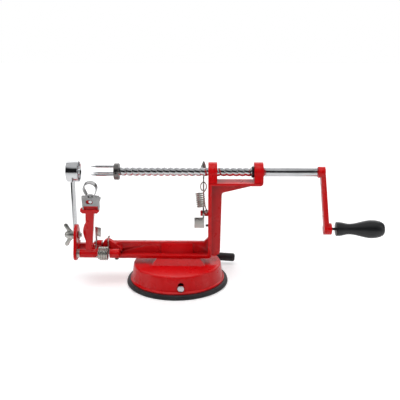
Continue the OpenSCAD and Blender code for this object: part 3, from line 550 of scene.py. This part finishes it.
class GrownMesh:
    """A Geometry Nodes tree built in the script, run once and kept as a plain mesh."""

    def __init__(self, name: str) -> None:
        """Starts an empty tree with a geometry output.

        Args:
            name: The tree's name.
        """
        self.group = bpy.data.node_groups.new(name, "GeometryNodeTree")
        self.tree = Tree(self.group)
        self.values: dict[str, object] = {}
        for way in ("INPUT", "OUTPUT"):
            self.group.interface.new_socket(
                "Geometry", in_out=way, socket_type="NodeSocketGeometry")
        self.entry = self.tree.add("NodeGroupInput")

    def size(self, name: str, value: float, kind: str = "NodeSocketFloat") -> bpy.types.NodeSocket:
        """Adds a named input.

        Args:
            name: The input's name.
            value: Its value.
            kind: Its socket type.

        Returns:
            The input's socket inside the tree.
        """
        item = self.group.interface.new_socket(name, in_out="INPUT", socket_type=kind)
        self.values[item.identifier] = value
        return self.entry.outputs[name]

    def close(self, geometry: bpy.types.NodeSocket, finish: Finish) -> None:
        """Ends the tree with Realize Instances and Set Material.

        Args:
            geometry: The last geometry socket.
            finish: The finish to set.
        """
        real = self.tree.add("GeometryNodeRealizeInstances", {0: geometry})
        dressed = self.tree.add("GeometryNodeSetMaterial", {"Geometry": real.outputs[0]})
        dressed.inputs["Material"].default_value = paints.of(finish)
        self.tree.add("NodeGroupOutput", {0: dressed.outputs[0]})

    def run(self, start: bpy.types.ID | None = None) -> bpy.types.Mesh:
        """Evaluates the tree.

        Args:
            start: The curve or mesh data that the tree works on, if any.

        Returns:
            The plain mesh.
        """
        holder = bpy.data.objects.new("grow", start or bpy.data.meshes.new("seed"))
        bpy.context.scene.collection.objects.link(holder)
        modifier = holder.modifiers.new("grow", "NODES")
        modifier.node_group = self.group
        for identifier, value in self.values.items():
            modifier[identifier] = value
        holder.update_tag()
        ready = holder.evaluated_get(bpy.context.evaluated_depsgraph_get())
        result = bpy.data.meshes.new_from_object(ready)
        holder.modifiers.remove(modifier)
        bpy.data.objects.remove(holder)
        return result


def wire_mesh(name: str, points: Sequence[Vector], radius: float, finish: Finish,
              sides: int = 12) -> bpy.types.Mesh:
    """Sweeps a round wire along a path with Geometry Nodes.

    Args:
        name: The tree's name.
        points: The wire's middle line.
        radius: The wire's radius.
        finish: Its finish.
        sides: The number of sides of its section.

    Returns:
        The swept mesh.
    """
    curve = bpy.data.curves.new(name, "CURVE")
    curve.dimensions = "3D"
    spline = curve.splines.new("POLY")
    spline.points.add(len(points) - 1)
    for place, point in zip(spline.points, points):
        place.co = (*point, 1.0)
    grown = GrownMesh(name)
    wire_radius = grown.size("Wire radius", radius)
    wire_sides = grown.size("Wire sides", sides, "NodeSocketInt")
    ring = grown.tree.add("GeometryNodeCurvePrimitiveCircle", {
        "Resolution": wire_sides, "Radius": wire_radius})
    swept = grown.tree.add("GeometryNodeCurveToMesh", {
        "Curve": grown.entry.outputs[0], "Profile Curve": ring.outputs[0], "Fill Caps": True})
    grown.close(swept.outputs[0], finish)
    return grown.run(curve)


def smooth_path(points: Sequence[Vector], steps: int = 6) -> list[Vector]:
    """Runs a Catmull-Rom curve through the points.

    Args:
        points: The points to pass.
        steps: Steps between two points.

    Returns:
        The denser path.
    """
    path: list[Vector] = []
    padded = [points[0] * 2 - points[1], *points, points[-1] * 2 - points[-2]]
    for a, b, c, d in zip(padded, padded[1:], padded[2:], padded[3:]):
        for i in range(steps):
            t = i / steps
            path.append(0.5 * ((2 * b) + (c - a) * t + (2 * a - 5 * b + 4 * c - d) * t * t
                               + (3 * b - a - 3 * c + d) * t ** 3))
    path.append(points[-1])
    return path


# ---------------------------------------------------------------- sub-assemblies

CAST_SHARP = 50.0
WIRE_SHARP = 60.0
WING_MIDDLE = (2.3, 0.0, 6.2)
WING_OUTLINE = (
    (6.6, 0.0), (6.6, 3.4), (5.6, 4.9), (4.2, 6.6), (2.9, 8.8), (1.9, 10.9), (0.8, 12.1),
    (-0.6, 12.3), (-1.9, 11.5), (-2.4, 10.2), (-1.7, 8.6), (-0.4, 6.8), (0.7, 5.0), (1.0, 3.4),
    (0.4, 0.0))


@dataclass
class SuctionBase:
    """The rubber cup, the painted drum and the plates and screws inside it."""

    cup_radius: float = 53.6 * MM
    cup_height: float = 4.7 * MM
    skin: float = 2.0 * MM
    seat_radius: float = 43.0 * MM
    drum_round: float = 0.45 * MM
    lip_low: float = 1.5 * MM
    lip_high: float = 1.6 * MM
    lip_inset: float = 2.1 * MM

    def cup(self) -> None:
        """Turns the rubber cup with a soft double lip."""
        radius, height = self.cup_radius, self.cup_height
        lip = [*arc((radius - self.lip_low, self.lip_low), self.lip_low, -90, 12, 10),
               *arc((radius - self.lip_inset, height - self.lip_high), self.lip_high, 22, 90, 10)]
        profile = [(0.0, 0.0), (radius * 0.5, 0.0), (radius * 0.8, 0.0), *lip,
                   (radius - 4.2 * MM, height), (self.seat_radius, height),
                   (self.seat_radius - 4.0 * MM, self.skin + 0.6 * MM),
                   (self.seat_radius - 6.0 * MM, self.skin), (radius * 0.4, self.skin),
                   (0.0, self.skin)]
        Workshop.piece("rubber_cup", turned(profile, 160), "frame", RUBBER, ["suction_cup"])

    def drum(self) -> None:
        """Eases the edges of the painted drum and its pedestal."""
        Workshop.reuse("base_drum", "base_dome", self.drum_round, 3, "frame", ENAMEL, CAST_SHARP)

    def inside(self) -> None:
        """Dresses what works inside the drum."""
        for node in ("cup_plate", "cup_stem", "base_screws"):
            Workshop.dress(node, ZINC)

    def make(self) -> None:
        """Makes the whole base."""
        self.cup()
        self.drum()
        self.inside()


@dataclass
class SuctionLever:
    """The chrome rod that works the cup, with its rubber grip."""

    edge: float = 0.5 * MM

    def make(self) -> None:
        """Makes the rod, its grip and its clip."""
        Workshop.reuse("lever_rod", "lever_axle", self.edge, 4, "lever", CHROME)
        Workshop.reuse("lever_handle", "lever_grip", self.edge, 3, "lever", RUBBER)
        Workshop.dress("axle_clip", ZINC)


@dataclass
class Casting:
    """The painted frame with its bush and its pins."""

    edge: float = 0.55 * MM
    bush_edge: float = 0.25 * MM
    rivet_edge: float = 0.5 * MM

    def make(self) -> None:
        """Makes the frame and what is pressed into it."""
        Workshop.reuse("frame_body", "frame_casting", self.edge, 3, "frame", ENAMEL, CAST_SHARP)
        Workshop.reuse("shaft_bush", "rear_bush", self.bush_edge, 2, "bush", PLASTIC)
        Workshop.reuse("release_rivet", "release_pivot", self.rivet_edge, 3, "frame", ENAMEL)
        for node, finish in (("spring_peg", ZINC), ("stop_pin", DARK_STEEL),
                             ("pivot_set_screw", DARK_STEEL), ("pivot_pin", CHROME),
                             ("pivot_washer", ZINC), ("latch_pin", CHROME)):
            Workshop.dress(node, finish)


@dataclass
class FeedScrew:
    """The knuckle-threaded shaft with its fork."""

    lead: float = 6.4 * MM
    depth: float = 1.0 * MM
    radius: float = 4.47 * MM
    plain_radius: float = 4.5 * MM
    neck_radius: float = 3.28 * MM
    break_edge: float = 0.3 * MM
    end_edge: float = 0.4 * MM
    start: float = -58.6 * MM
    stop: float = 78.3 * MM
    height: float = 119.0 * MM
    phase: float = 0.0
    steps_a_turn: int = 24
    sides: int = 40

    def thread(self) -> bpy.types.Mesh:
        """Grows the thread from a grid that is rolled round the axis and waved along its helix.

        Returns:
            The thread's mesh.
        """
        length = self.stop - self.start
        rows = int(self.steps_a_turn * length / self.lead) + 1
        grown = GrownMesh("knuckle_thread")
        tree = grown.tree
        sizes = {name: grown.size(name, value) for name, value in (
            ("Length", length), ("Lead", self.lead), ("Depth", self.depth),
            ("Crest radius", self.radius), ("Start", self.start), ("Axis height", self.height),
            ("Phase", self.phase))}
        row_count = grown.size("Rows", rows, "NodeSocketInt")
        side_count = grown.size("Sides", self.sides + 1, "NodeSocketInt")
        grid = tree.add("GeometryNodeMeshGrid", {
            "Size X": sizes["Length"], "Size Y": 2 * pi, "Vertices X": row_count,
            "Vertices Y": side_count})
        point = tree.add("GeometryNodeInputPosition").outputs[0]
        spot = tree.add("ShaderNodeSeparateXYZ", {0: point})
        along = tree.maths("ADD", spot.outputs[0], tree.maths("MULTIPLY", sizes["Length"], 0.5))
        turn = spot.outputs[1]
        helix = tree.maths("MULTIPLY", tree.maths("DIVIDE", along, sizes["Lead"]), 2 * pi)
        wave = tree.maths("ADD", tree.maths("SUBTRACT", helix, turn), sizes["Phase"])
        # A round crest and a narrower valley
        swing = tree.maths("COSINE", tree.maths("MULTIPLY", wave, 0.5))
        crest = tree.maths("POWER", tree.maths("ABSOLUTE", swing), 0.8)
        fall = tree.maths("MULTIPLY", tree.maths("SUBTRACT", 1.0, crest), sizes["Depth"])
        radius = tree.maths("SUBTRACT", sizes["Crest radius"], fall)
        y = tree.maths("MULTIPLY", radius, tree.maths("COSINE", turn))
        z = tree.maths("ADD", tree.maths("MULTIPLY", radius, tree.maths("SINE", turn)),
                       sizes["Axis height"])
        x = tree.maths("ADD", along, sizes["Start"])
        place = tree.add("ShaderNodeCombineXYZ", {0: x, 1: y, 2: z})
        rolled = tree.add("GeometryNodeSetPosition", {
            "Geometry": grid.outputs[0], "Position": place.outputs[0]})
        welded = tree.add("GeometryNodeMergeByDistance", {0: rolled.outputs[0], "Distance": 2e-6})
        grown.close(welded.outputs[0], TURNED)
        return grown.run()

    def along_shaft(self, profile: Sequence[tuple[float, float]], start: float,
                    steps: int) -> bpy.types.Mesh:
        """Turns a profile about the shaft's axis.

        Args:
            profile: Points (radius, distance from start).
            start: Where the profile starts along X.
            steps: The number of steps in a turn.

        Returns:
            The mesh, in place.
        """
        mesh = turned(profile, steps)
        mesh.transform(Matrix.Translation((start, 0.0, self.height))
                       @ Matrix.Rotation(pi / 2, 4, "Y"))
        return mesh

    def plain_end(self) -> bpy.types.Mesh:
        """Turns the plain rear of the shaft, with its edges broken.

        Returns:
            The mesh, in place.
        """
        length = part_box("drive_shaft")[1][0] - self.stop
        radius = self.plain_radius
        return self.along_shaft([
            (0.0, 0.0), (radius - self.break_edge, 0.0), (radius, self.break_edge),
            (radius, length * 0.5), (radius, length - self.end_edge),
            (radius - self.end_edge, length), (0.0, length)], self.stop, 64)

    def neck(self) -> bpy.types.Mesh:
        """Turns the neck that the fork's hub sits on.

        Returns:
            The mesh, in place.
        """
        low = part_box("drive_shaft")[0][0]
        length = self.start - low + self.break_edge
        return self.along_shaft([
            (0.0, 0.0), (self.neck_radius - self.break_edge, 0.0),
            (self.neck_radius, self.break_edge), (self.neck_radius, length), (0.0, length)],
            low, 48)

    def make(self) -> None:
        """Makes the shaft, the hub, the tines and the pin."""
        work = bmesh.new()
        for mesh in (self.thread(), self.plain_end(), self.neck()):
            work.from_mesh(mesh)
        close_holes(work)
        shaft = bpy.data.meshes.new("shaft")
        work.to_mesh(shaft)
        work.free()
        Workshop.piece("feed_screw", shaft, "shaft", TURNED, ["drive_shaft"], sharp=WIRE_SHARP)
        Workshop.reuse("fork_collar", "fork_hub", self.break_edge, 2, "shaft", HUB_STEEL)
        Workshop.dress("fork_tines", CHROME)
        Workshop.dress("hub_pin", DARK_STEEL)


@dataclass
class Crank:
    """The painted crank with its turned handle."""

    edge: float = 0.6 * MM
    handle_x: float = 165.9 * MM
    handle_z: float = 58.5 * MM
    length: float = 50.0 * MM
    belly: float = 9.45 * MM
    waist: float = 5.6 * MM
    rim: float = 7.3 * MM
    rim_length: float = 2.4 * MM
    waist_at: float = 13.6 * MM
    belly_at: float = 37.2 * MM
    tip: float = 4.2 * MM
    socket: float = 3.8 * MM
    socket_depth: float = 5.5 * MM
    bore: float = 1.46 * MM
    ribs: int = 18
    rib_radius: float = 0.5 * MM
    rib_length: float = 2.2 * MM

    def profile(self) -> list[tuple[float, float]]:
        """Draws the handle from its bore out to its rim, along its belly and back.

        Returns:
            Points (radius, distance along the handle).
        """
        fall, swell_l = self.rim - self.waist, self.belly - self.waist
        neck = [(self.rim - fall * (1 - cos(pi * i / 8)) / 2,
                 self.rim_length + (self.waist_at - self.rim_length) * i / 8)
                for i in range(1, 9)]
        swell = [(self.waist + swell_l * (1 - cos(pi * i / 16)) / 2,
                  self.waist_at + (self.belly_at - self.waist_at) * i / 16)
                 for i in range(1, 17)]
        close = [(self.tip + (self.belly - self.tip) * cos(pi * i / 20),
                  self.belly_at + (self.length - self.belly_at) * sin(pi * i / 20))
                 for i in range(1, 11)]
        edge = self.rim - 0.05 * MM
        floor = self.length - self.socket_depth
        return [(self.bore, 0.0), (self.rim - 0.9 * MM, 0.0), (self.rim - 0.3 * MM, 0.25 * MM),
                (edge, 0.9 * MM), (edge, self.rim_length - 0.2 * MM), *neck, *swell, *close,
                (self.socket + 0.1 * MM, self.length - 0.3 * MM), (self.socket, floor),
                (self.bore, floor)]

    def rib_ring(self) -> bpy.types.Mesh:
        """Grows the small ribs round the handle's rim.

        Returns:
            The ribs' mesh, along Z.
        """
        grown = GrownMesh("rim_ribs")
        tree = grown.tree
        count = grown.size("Ribs", self.ribs, "NodeSocketInt")
        reach = grown.size("Ring radius", self.rim - self.rib_radius - 0.02 * MM)
        thick = grown.size("Rib radius", self.rib_radius)
        tall = grown.size("Rib length", self.rib_length)
        circle = tree.add("GeometryNodeMeshCircle", {"Vertices": count, "Radius": reach})
        rib = tree.add("GeometryNodeMeshCylinder", {
            "Vertices": 10, "Side Segments": 2, "Radius": thick, "Depth": tall})
        set_out = tree.add("GeometryNodeInstanceOnPoints", {
            "Points": circle.outputs[0], "Instance": rib.outputs[0]})
        lift = tree.add("ShaderNodeCombineXYZ", {2: tree.maths("MULTIPLY", tall, 0.55)})
        moved = tree.add("GeometryNodeTransform", {
            "Geometry": set_out.outputs[0], "Translation": lift.outputs[0]})
        grown.close(moved.outputs[0], PLASTIC)
        return grown.run()

    def handle(self) -> None:
        """Makes the turned handle with its ribbed rim."""
        work = bmesh.new()
        for mesh in (turned(ring_profile(self.profile()), 96), self.rib_ring()):
            work.from_mesh(mesh)
        bmesh.ops.remove_doubles(work, verts=work.verts, dist=1e-7)
        grip = bpy.data.meshes.new("grip")
        work.to_mesh(grip)
        work.free()
        grip.transform(Matrix.Translation((self.handle_x, 0.0, self.handle_z))
                       @ Matrix.Rotation(pi / 2, 4, "Y"))
        Workshop.piece("handle_turned", grip, "grip", PLASTIC, ["handle_grip"], sharp=40)

    def make(self) -> None:
        """Makes the crank, its screw, its bolt and its handle."""
        Workshop.reuse("crank_casting", "crank_arm", self.edge, 3, "shaft", ENAMEL, CAST_SHARP)
        for node in ("crank_set_screw", "handle_bolt", "handle_washer"):
            Workshop.dress(node, DARK_STEEL)
        self.handle()


@dataclass
class BladeSet:
    """The slicing blade, its coring ring and the wing nut that holds them."""

    bolt_y: float = -5.5 * MM
    bolt_z: float = 52.6 * MM
    nut_left: float = -115.4 * MM
    nut_length: float = 7.4 * MM
    nut_radius: float = 4.5 * MM
    nut_bore: float = 2.56 * MM
    wing_thick: float = 2.4 * MM
    wing_root: float = 3.2 * MM
    wing_round: float = 0.35 * MM
    edge: float = 0.3 * MM
    bolt_edge: float = 0.4 * MM

    def wing(self) -> bpy.types.Mesh:
        """Builds one rounded wing in the X-Z plane, above the nut's middle.

        Returns:
            The wing's mesh, at the origin.
        """
        work = bmesh.new()
        half = self.wing_thick / 2
        middle = Vector(WING_MIDDLE)
        sides: list[list[bmesh.types.BMVert]] = []
        for shift, shrink in ((-half, 0.82), (-half * 0.45, 1.0), (half * 0.45, 1.0), (half, 0.82)):
            ring = []
            for x, z in WING_OUTLINE:
                point = Vector((x, 0.0, z))
                if z > 0.5:
                    point = middle + (point - middle) * (shrink if z > 3 else 1.0)
                ring.append(work.verts.new((point.x * MM, shift, point.z * MM)))
            sides.append(ring)
        for a, b in zip(sides, sides[1:]):
            for i in range(len(a)):
                j = (i + 1) % len(a)
                work.faces.new((a[i], a[j], b[j], b[i]))
        work.faces.new(sides[0])
        work.faces.new(list(reversed(sides[-1])))
        bmesh.ops.recalc_face_normals(work, faces=work.faces)
        mesh = bpy.data.meshes.new("wing")
        work.to_mesh(mesh)
        work.free()

        def soften(holder: bpy.types.Object) -> None:
            """Adds the bevel."""
            bevel = holder.modifiers.new("round", "BEVEL")
            bevel.width = self.wing_round
            bevel.segments = 2
            bevel.limit_method = "ANGLE"
            bevel.angle_limit = radians(40)

        return Workshop.applied(mesh, soften)

    def wing_nut(self) -> None:
        """Makes the wing nut: a tapered hub with two wings."""
        length, radius, bore = self.nut_length, self.nut_radius, self.nut_bore
        hub = turned(ring_profile([
            (bore + 0.35 * MM, 0.0), (radius - 1.1 * MM, 0.0), (radius - 0.6 * MM, 0.5 * MM),
            (radius - 0.05 * MM, length * 0.8), (radius, length - 0.5 * MM),
            (radius - 0.4 * MM, length), (bore + 0.35 * MM, length),
            (bore, length - 0.4 * MM), (bore, 0.4 * MM)]), 48)
        hub.transform(Matrix.Rotation(pi / 2, 4, "Y"))
        work = bmesh.new()
        work.from_mesh(hub)
        for turn in (0.0, pi):
            wing = self.wing()
            # The wing starts outside the bore
            cut = bmesh.new()
            cut.from_mesh(wing)
            bmesh.ops.bisect_plane(cut, geom=[*cut.verts, *cut.edges, *cut.faces], dist=1e-7,
                                   plane_co=(0.0, 0.0, self.wing_root), plane_no=(0.0, 0.0, 1.0),
                                   clear_inner=True)
            close_holes(cut)
            cut.to_mesh(wing)
            cut.free()
            wing.transform(Matrix.Rotation(turn, 4, "X"))
            work.from_mesh(wing)
        mesh = bpy.data.meshes.new("wing_nut")
        work.to_mesh(mesh)
        work.free()
        mesh.transform(Matrix.Translation((self.nut_left, self.bolt_y, self.bolt_z)))
        Workshop.piece("wing_nut_cast", mesh, "wing", ZINC, ["wing_nut"], sharp=45)

    def make(self) -> None:
        """Makes the blade, the ring, the bolt and the nut."""
        Workshop.reuse("slicer", "slicing_blade", self.edge, 2, "frame", CHROME)
        Workshop.reuse("corer", "coring_ring", self.edge, 2, "frame", CHROME)
        Workshop.reuse("blade_stud", "blade_bolt", self.bolt_edge, 3, "frame", ZINC)
        Workshop.dress("blade_washer", ZINC)
        self.wing_nut()


@dataclass
class PeelingArm:
    """The sprung arm with its head, its clip and its peeling loop."""

    pivot_y: float = -17.0 * MM
    pivot_z: float = 36.3 * MM
    coil_left: float = -79.7 * MM
    coil_pitch: float = 1.88 * MM
    coil_radius: float = 6.4 * MM
    wire_radius: float = 0.85 * MM
    turns: int = 5
    lean: float = 12.0
    lug_x: float = -72.3 * MM
    lug_z: float = 43.0 * MM
    hub_right: float = -80.9 * MM
    leg_radius: float = 3.6 * MM
    edge: float = 0.5 * MM
    clip_edge: float = 0.25 * MM
    loop_edge: float = 0.2 * MM
    latch_edge: float = 0.3 * MM
    steps_a_turn: int = 36

    def spring_path(self) -> list[Vector]:
        """Follows the torsion spring from the arm's hub to the frame's lug.

        Returns:
            The wire's middle line.
        """
        start = 225.0 - self.lean
        steps = self.steps_a_turn * self.turns
        sweep = -360.0 * self.turns - start
        coil = []
        for i in range(steps + 1):
            angle = radians(start + sweep * i / steps)
            coil.append(Vector((self.coil_left + self.coil_pitch * self.turns * i / steps,
                                self.pivot_y + self.coil_radius * cos(angle),
                                self.pivot_z + self.coil_radius * sin(angle))))
        first, last = coil[0], coil[-1]
        into_hub = [Vector((self.hub_right + shift * MM,
                            self.pivot_y + self.leg_radius * cos(radians(start)),
                            self.pivot_z + self.leg_radius * sin(radians(start))))
                    for shift in (-1.6, 0.2)]
        leg_y = self.pivot_y + self.coil_radius + 2.1 * MM
        up_lug = [Vector((last.x - 0.6 * MM, self.pivot_y + self.coil_radius + 1.0 * MM,
                          self.pivot_z + 3.0 * MM)),
                  Vector((self.lug_x + 1.0 * MM, leg_y, self.lug_z - 4.0 * MM)),
                  Vector((self.lug_x + 1.0 * MM, leg_y, self.lug_z + 5.9 * MM)),
                  Vector((self.lug_x + 2.4 * MM, leg_y, self.lug_z + 9.5 * MM))]
        return [*smooth_path([*into_hub, first], 5), *coil[1:-1], *smooth_path([last, *up_lug], 5)]

    def make(self) -> None:
        """Makes the arm, its spring, its clip and its blade."""
        Workshop.reuse("arm_casting", "peel_arm", self.edge, 3, "arm", ENAMEL, CAST_SHARP)
        Workshop.reuse("loop_clip", "blade_clip", self.clip_edge, 2, "arm", PRESSED)
        Workshop.reuse("peeling_loop", "peel_blade", self.loop_edge, 2, "arm", PRESSED)
        Workshop.reuse("loop_screw", "clip_screw", self.clip_edge, 3, "arm", CHROME)
        Workshop.dress("clip_nut", ZINC)
        coil = wire_mesh("arm_spring_wire", self.spring_path(), self.wire_radius, SPRING_STEEL)
        held = self.coil_left + self.coil_pitch * self.turns - 2 * self.wire_radius
        wound = self.coil_left - self.wire_radius
        Workshop.piece("torsion_spring", coil, "frame", SPRING_STEEL, ["peel_arm_spring"],
                       sharp=WIRE_SHARP, winds_to=("arm", (held, self.pivot_y, self.pivot_z),
                                                   (wound, self.pivot_y, self.pivot_z)))
        Workshop.reuse("latch_lever", "arm_latch", self.latch_edge, 2, "latch", ZINC)


@dataclass
class ShaftRelease:
    """The spring-loaded plate that frees the feed screw."""

    coil_radius: float = 4.2 * MM
    wire_radius: float = 0.6 * MM
    turns: int = 7
    top: Point = (23.9 * MM, -8.0 * MM, 99.2 * MM)
    bottom: Point = (25.5 * MM, -8.0 * MM, 83.6 * MM)
    hook: Point = (27.65 * MM, -3.0 * MM, 108.4 * MM)
    peg: Point = (30.9 * MM, -6.5 * MM, 78.6 * MM)
    hook_radius: float = 1.8 * MM
    hook_wide: float = 3.0 * MM
    hook_tall: float = 4.6 * MM
    hook_drop: float = 4.2 * MM
    edge: float = 0.3 * MM
    steps_a_turn: int = 32

    def spring_path(self) -> list[Vector]:
        """Follows the extension spring from its upper hook to the peg.

        Returns:
            The wire's middle line.
        """
        top, bottom, hook, peg = (Vector(p) for p in (self.top, self.bottom, self.hook, self.peg))
        axis = bottom - top
        down = axis.normalized()
        front = down.cross(Vector((1.0, 0.0, 0.0))).normalized()
        right = front.cross(down)
        upper = [hook + Vector((self.hook_wide * cos(a), 0.0,
                                self.hook_tall * sin(a) - self.hook_drop))
                 for a in (radians(250 - 32 * i) for i in range(11))]
        upper.append(hook + Vector((1.6, -1.2, -8.0)) * MM)
        steps = self.steps_a_turn * self.turns
        coil = []
        for i in range(steps + 1):
            angle = 2 * pi * self.turns * i / steps
            out = cos(angle) * right + sin(angle) * front
            coil.append(top + axis * i / steps + self.coil_radius * out)
        tail = bottom + self.coil_radius * right
        lower = [tail + Vector((0.4, 0.0, -1.6)) * MM]
        lower += [peg + self.hook_radius * Vector((0.0, cos(radians(a)), sin(radians(a))))
                  for a in range(45, -208, -36)]
        into, out_of = smooth_path([*upper, coil[0]], 4), smooth_path([coil[-1], *lower], 4)
        return [*into, *coil[1:-1], *out_of]

    def make(self) -> None:
        """Makes the plate and its spring."""
        Workshop.reuse("release_lever", "release_plate", self.edge, 2, "release", ZINC)
        coil = wire_mesh("release_spring_wire", self.spring_path(), self.wire_radius, SPRING_STEEL)
        held = Vector(self.peg) + Vector((0.0, 0.0, 3.0)) * MM
        pulled = Vector(self.hook) - Vector((0.0, 0.0, 5.0)) * MM
        Workshop.piece("extension_spring", coil, "frame", SPRING_STEEL, ["release_spring"],
                       sharp=WIRE_SHARP, winds_to=("release", tuple(held), tuple(pulled)))


# ---------------------------------------------------------------- studio


@dataclass(frozen=True)
class Lamp:
    """A soft rectangular light."""

    name: str
    place: Point
    aim: Point
    size: tuple[float, float]
    power: float
    mirrored: bool = True

    def hang(self) -> None:
        """Hangs the light in the scene, aimed at its point."""
        data = bpy.data.lights.new(self.name, "AREA")
        data.shape = "RECTANGLE"
        data.size, data.size_y = self.size
        data.energy = self.power
        lamp = bpy.data.objects.new(self.name, data)
        lamp.location = self.place
        way = Vector(self.aim) - Vector(self.place)
        lamp.rotation_euler = way.to_track_quat("-Z", "Y").to_euler()
        lamp.visible_glossy = self.mirrored
        bpy.context.scene.collection.objects.link(lamp)


LAMPS = (
    Lamp("overhead", (-0.05, -0.30, 1.2), (0.0, 0.0, 0.05), (1.3, 0.7), 8.0, mirrored=False),
    Lamp("left_side", (-1.3, -0.35, 0.55), (0.0, 0.0, 0.06), (0.5, 1.0), 2.2),
    Lamp("right_side", (1.3, -0.35, 0.55), (0.05, 0.0, 0.06), (0.5, 1.0), 2.2),
    Lamp("rear", (0.0, 1.3, 1.0), (0.0, 0.1, 0.02), (2.6, 0.8), 7.0),
    Lamp("front_fill", (-0.2, -1.5, 0.9), (0.0, 0.0, 0.06), (1.6, 1.2), 2.5, mirrored=False),
)


@dataclass
class Studio:
    """The pale floor, the soft lights and the camera."""

    camera_place: Point = (0.0339, -0.600, 0.249)
    tilt: float = 14.91
    turn: float = 0.94
    lens: float = 54.0
    floor_half: float = 6.0
    glow_reach: tuple[float, float] = (0.15, 1.6)
    glow_power: tuple[float, float] = (0.32, 1.0)
    sky_power: float = 0.6

    def floor(self) -> None:
        """Lays the pale floor."""
        half = self.floor_half
        mesh = bpy.data.meshes.new("floor")
        corners = [(-half, -half, 0), (half, -half, 0), (half, half, 0), (-half, half, 0)]
        mesh.from_pydata(corners, [], [(0, 1, 2, 3)])
        floor = bpy.data.objects.new("floor", mesh)
        bpy.context.scene.collection.objects.link(floor)
        material = bpy.data.materials.new("studio_floor")
        material.use_nodes = True
        tree = Tree(material.node_tree)
        shader = tree.add("ShaderNodeBsdfPrincipled", {
            "Base Color": (0.92, 0.92, 0.925, 1.0), "Roughness": 0.24, "Specular IOR Level": 0.3})
        place = tree.add("ShaderNodeTexCoord").outputs["Object"]
        reach = tree.add("ShaderNodeVectorMath", {0: place}, operation="LENGTH").outputs["Value"]
        # The floor brightens with distance, so that no horizon shows
        power = tree.spread(reach, *self.glow_reach, *self.glow_power)
        glow = tree.add("ShaderNodeEmission", {"Color": WHITE, "Strength": power})
        lit = tree.add("ShaderNodeAddShader", {0: shader.outputs[0], 1: glow.outputs[0]})
        seen = tree.add("ShaderNodeLightPath").outputs["Is Camera Ray"]
        both = tree.add("ShaderNodeMixShader", {0: seen, 1: shader.outputs[0], 2: lit.outputs[0]})
        tree.add("ShaderNodeOutputMaterial", {"Surface": both.outputs[0]})
        mesh.materials.append(material)

    def world(self) -> None:
        """Lights the room with a pale sky that is darker towards the viewer's side."""
        world = bpy.data.worlds.new("studio")
        bpy.context.scene.world = world
        world.use_nodes = True
        tree = Tree(world.node_tree)
        sky = tree.add("ShaderNodeTexCoord").outputs["Generated"]
        way = tree.add("ShaderNodeSeparateXYZ", {0: sky})
        back = tree.spread(way.outputs[1], 0.25, 0.7, 0.0, 0.8)
        high = tree.spread(way.outputs[2], 0.62, 0.86, 0.0, 1.0)
        pale = tree.maths("MAXIMUM", back, high)
        tone = tree.blend(pale, (0.02, 0.02, 0.022, 1.0), (0.95, 0.95, 0.96, 1.0))
        room = tree.add("ShaderNodeBackground", {"Color": tone, "Strength": self.sky_power})
        white = tree.add("ShaderNodeBackground", {"Color": WHITE, "Strength": 1.0})
        seen = tree.add("ShaderNodeLightPath").outputs["Is Camera Ray"]
        both = tree.add("ShaderNodeMixShader", {0: seen, 1: room.outputs[0], 2: white.outputs[0]})
        tree.add("ShaderNodeOutputWorld", {0: both.outputs[0]})

    def camera(self) -> None:
        """Sets the camera at the viewing angle."""
        data = bpy.data.cameras.new("camera")
        data.lens = self.lens
        data.sensor_width = 36.0
        data.clip_start = 0.01
        camera = bpy.data.objects.new("camera", data)
        camera.location = self.camera_place
        camera.rotation_euler = (radians(90.0 - self.tilt), 0.0, radians(self.turn))
        bpy.context.scene.collection.objects.link(camera)
        bpy.context.scene.camera = camera

    def make(self) -> None:
        """Sets up the whole studio."""
        self.floor()
        self.world()
        for lamp in LAMPS:
            lamp.hang()
        self.camera()
        bpy.context.scene.view_settings.view_transform = "Standard"


def main() -> None:
    """Builds the object and its studio."""
    logging.basicConfig(level=logging.INFO, format="%(message)s")
    for part in (Studio(), SuctionBase(), SuctionLever(), Casting(), FeedScrew(), Crank(),
                 BladeSet(), PeelingArm(), ShaftRelease()):
        log.info("-- %s", type(part).__name__)
        part.make()


if __name__ == "__main__":
    main()
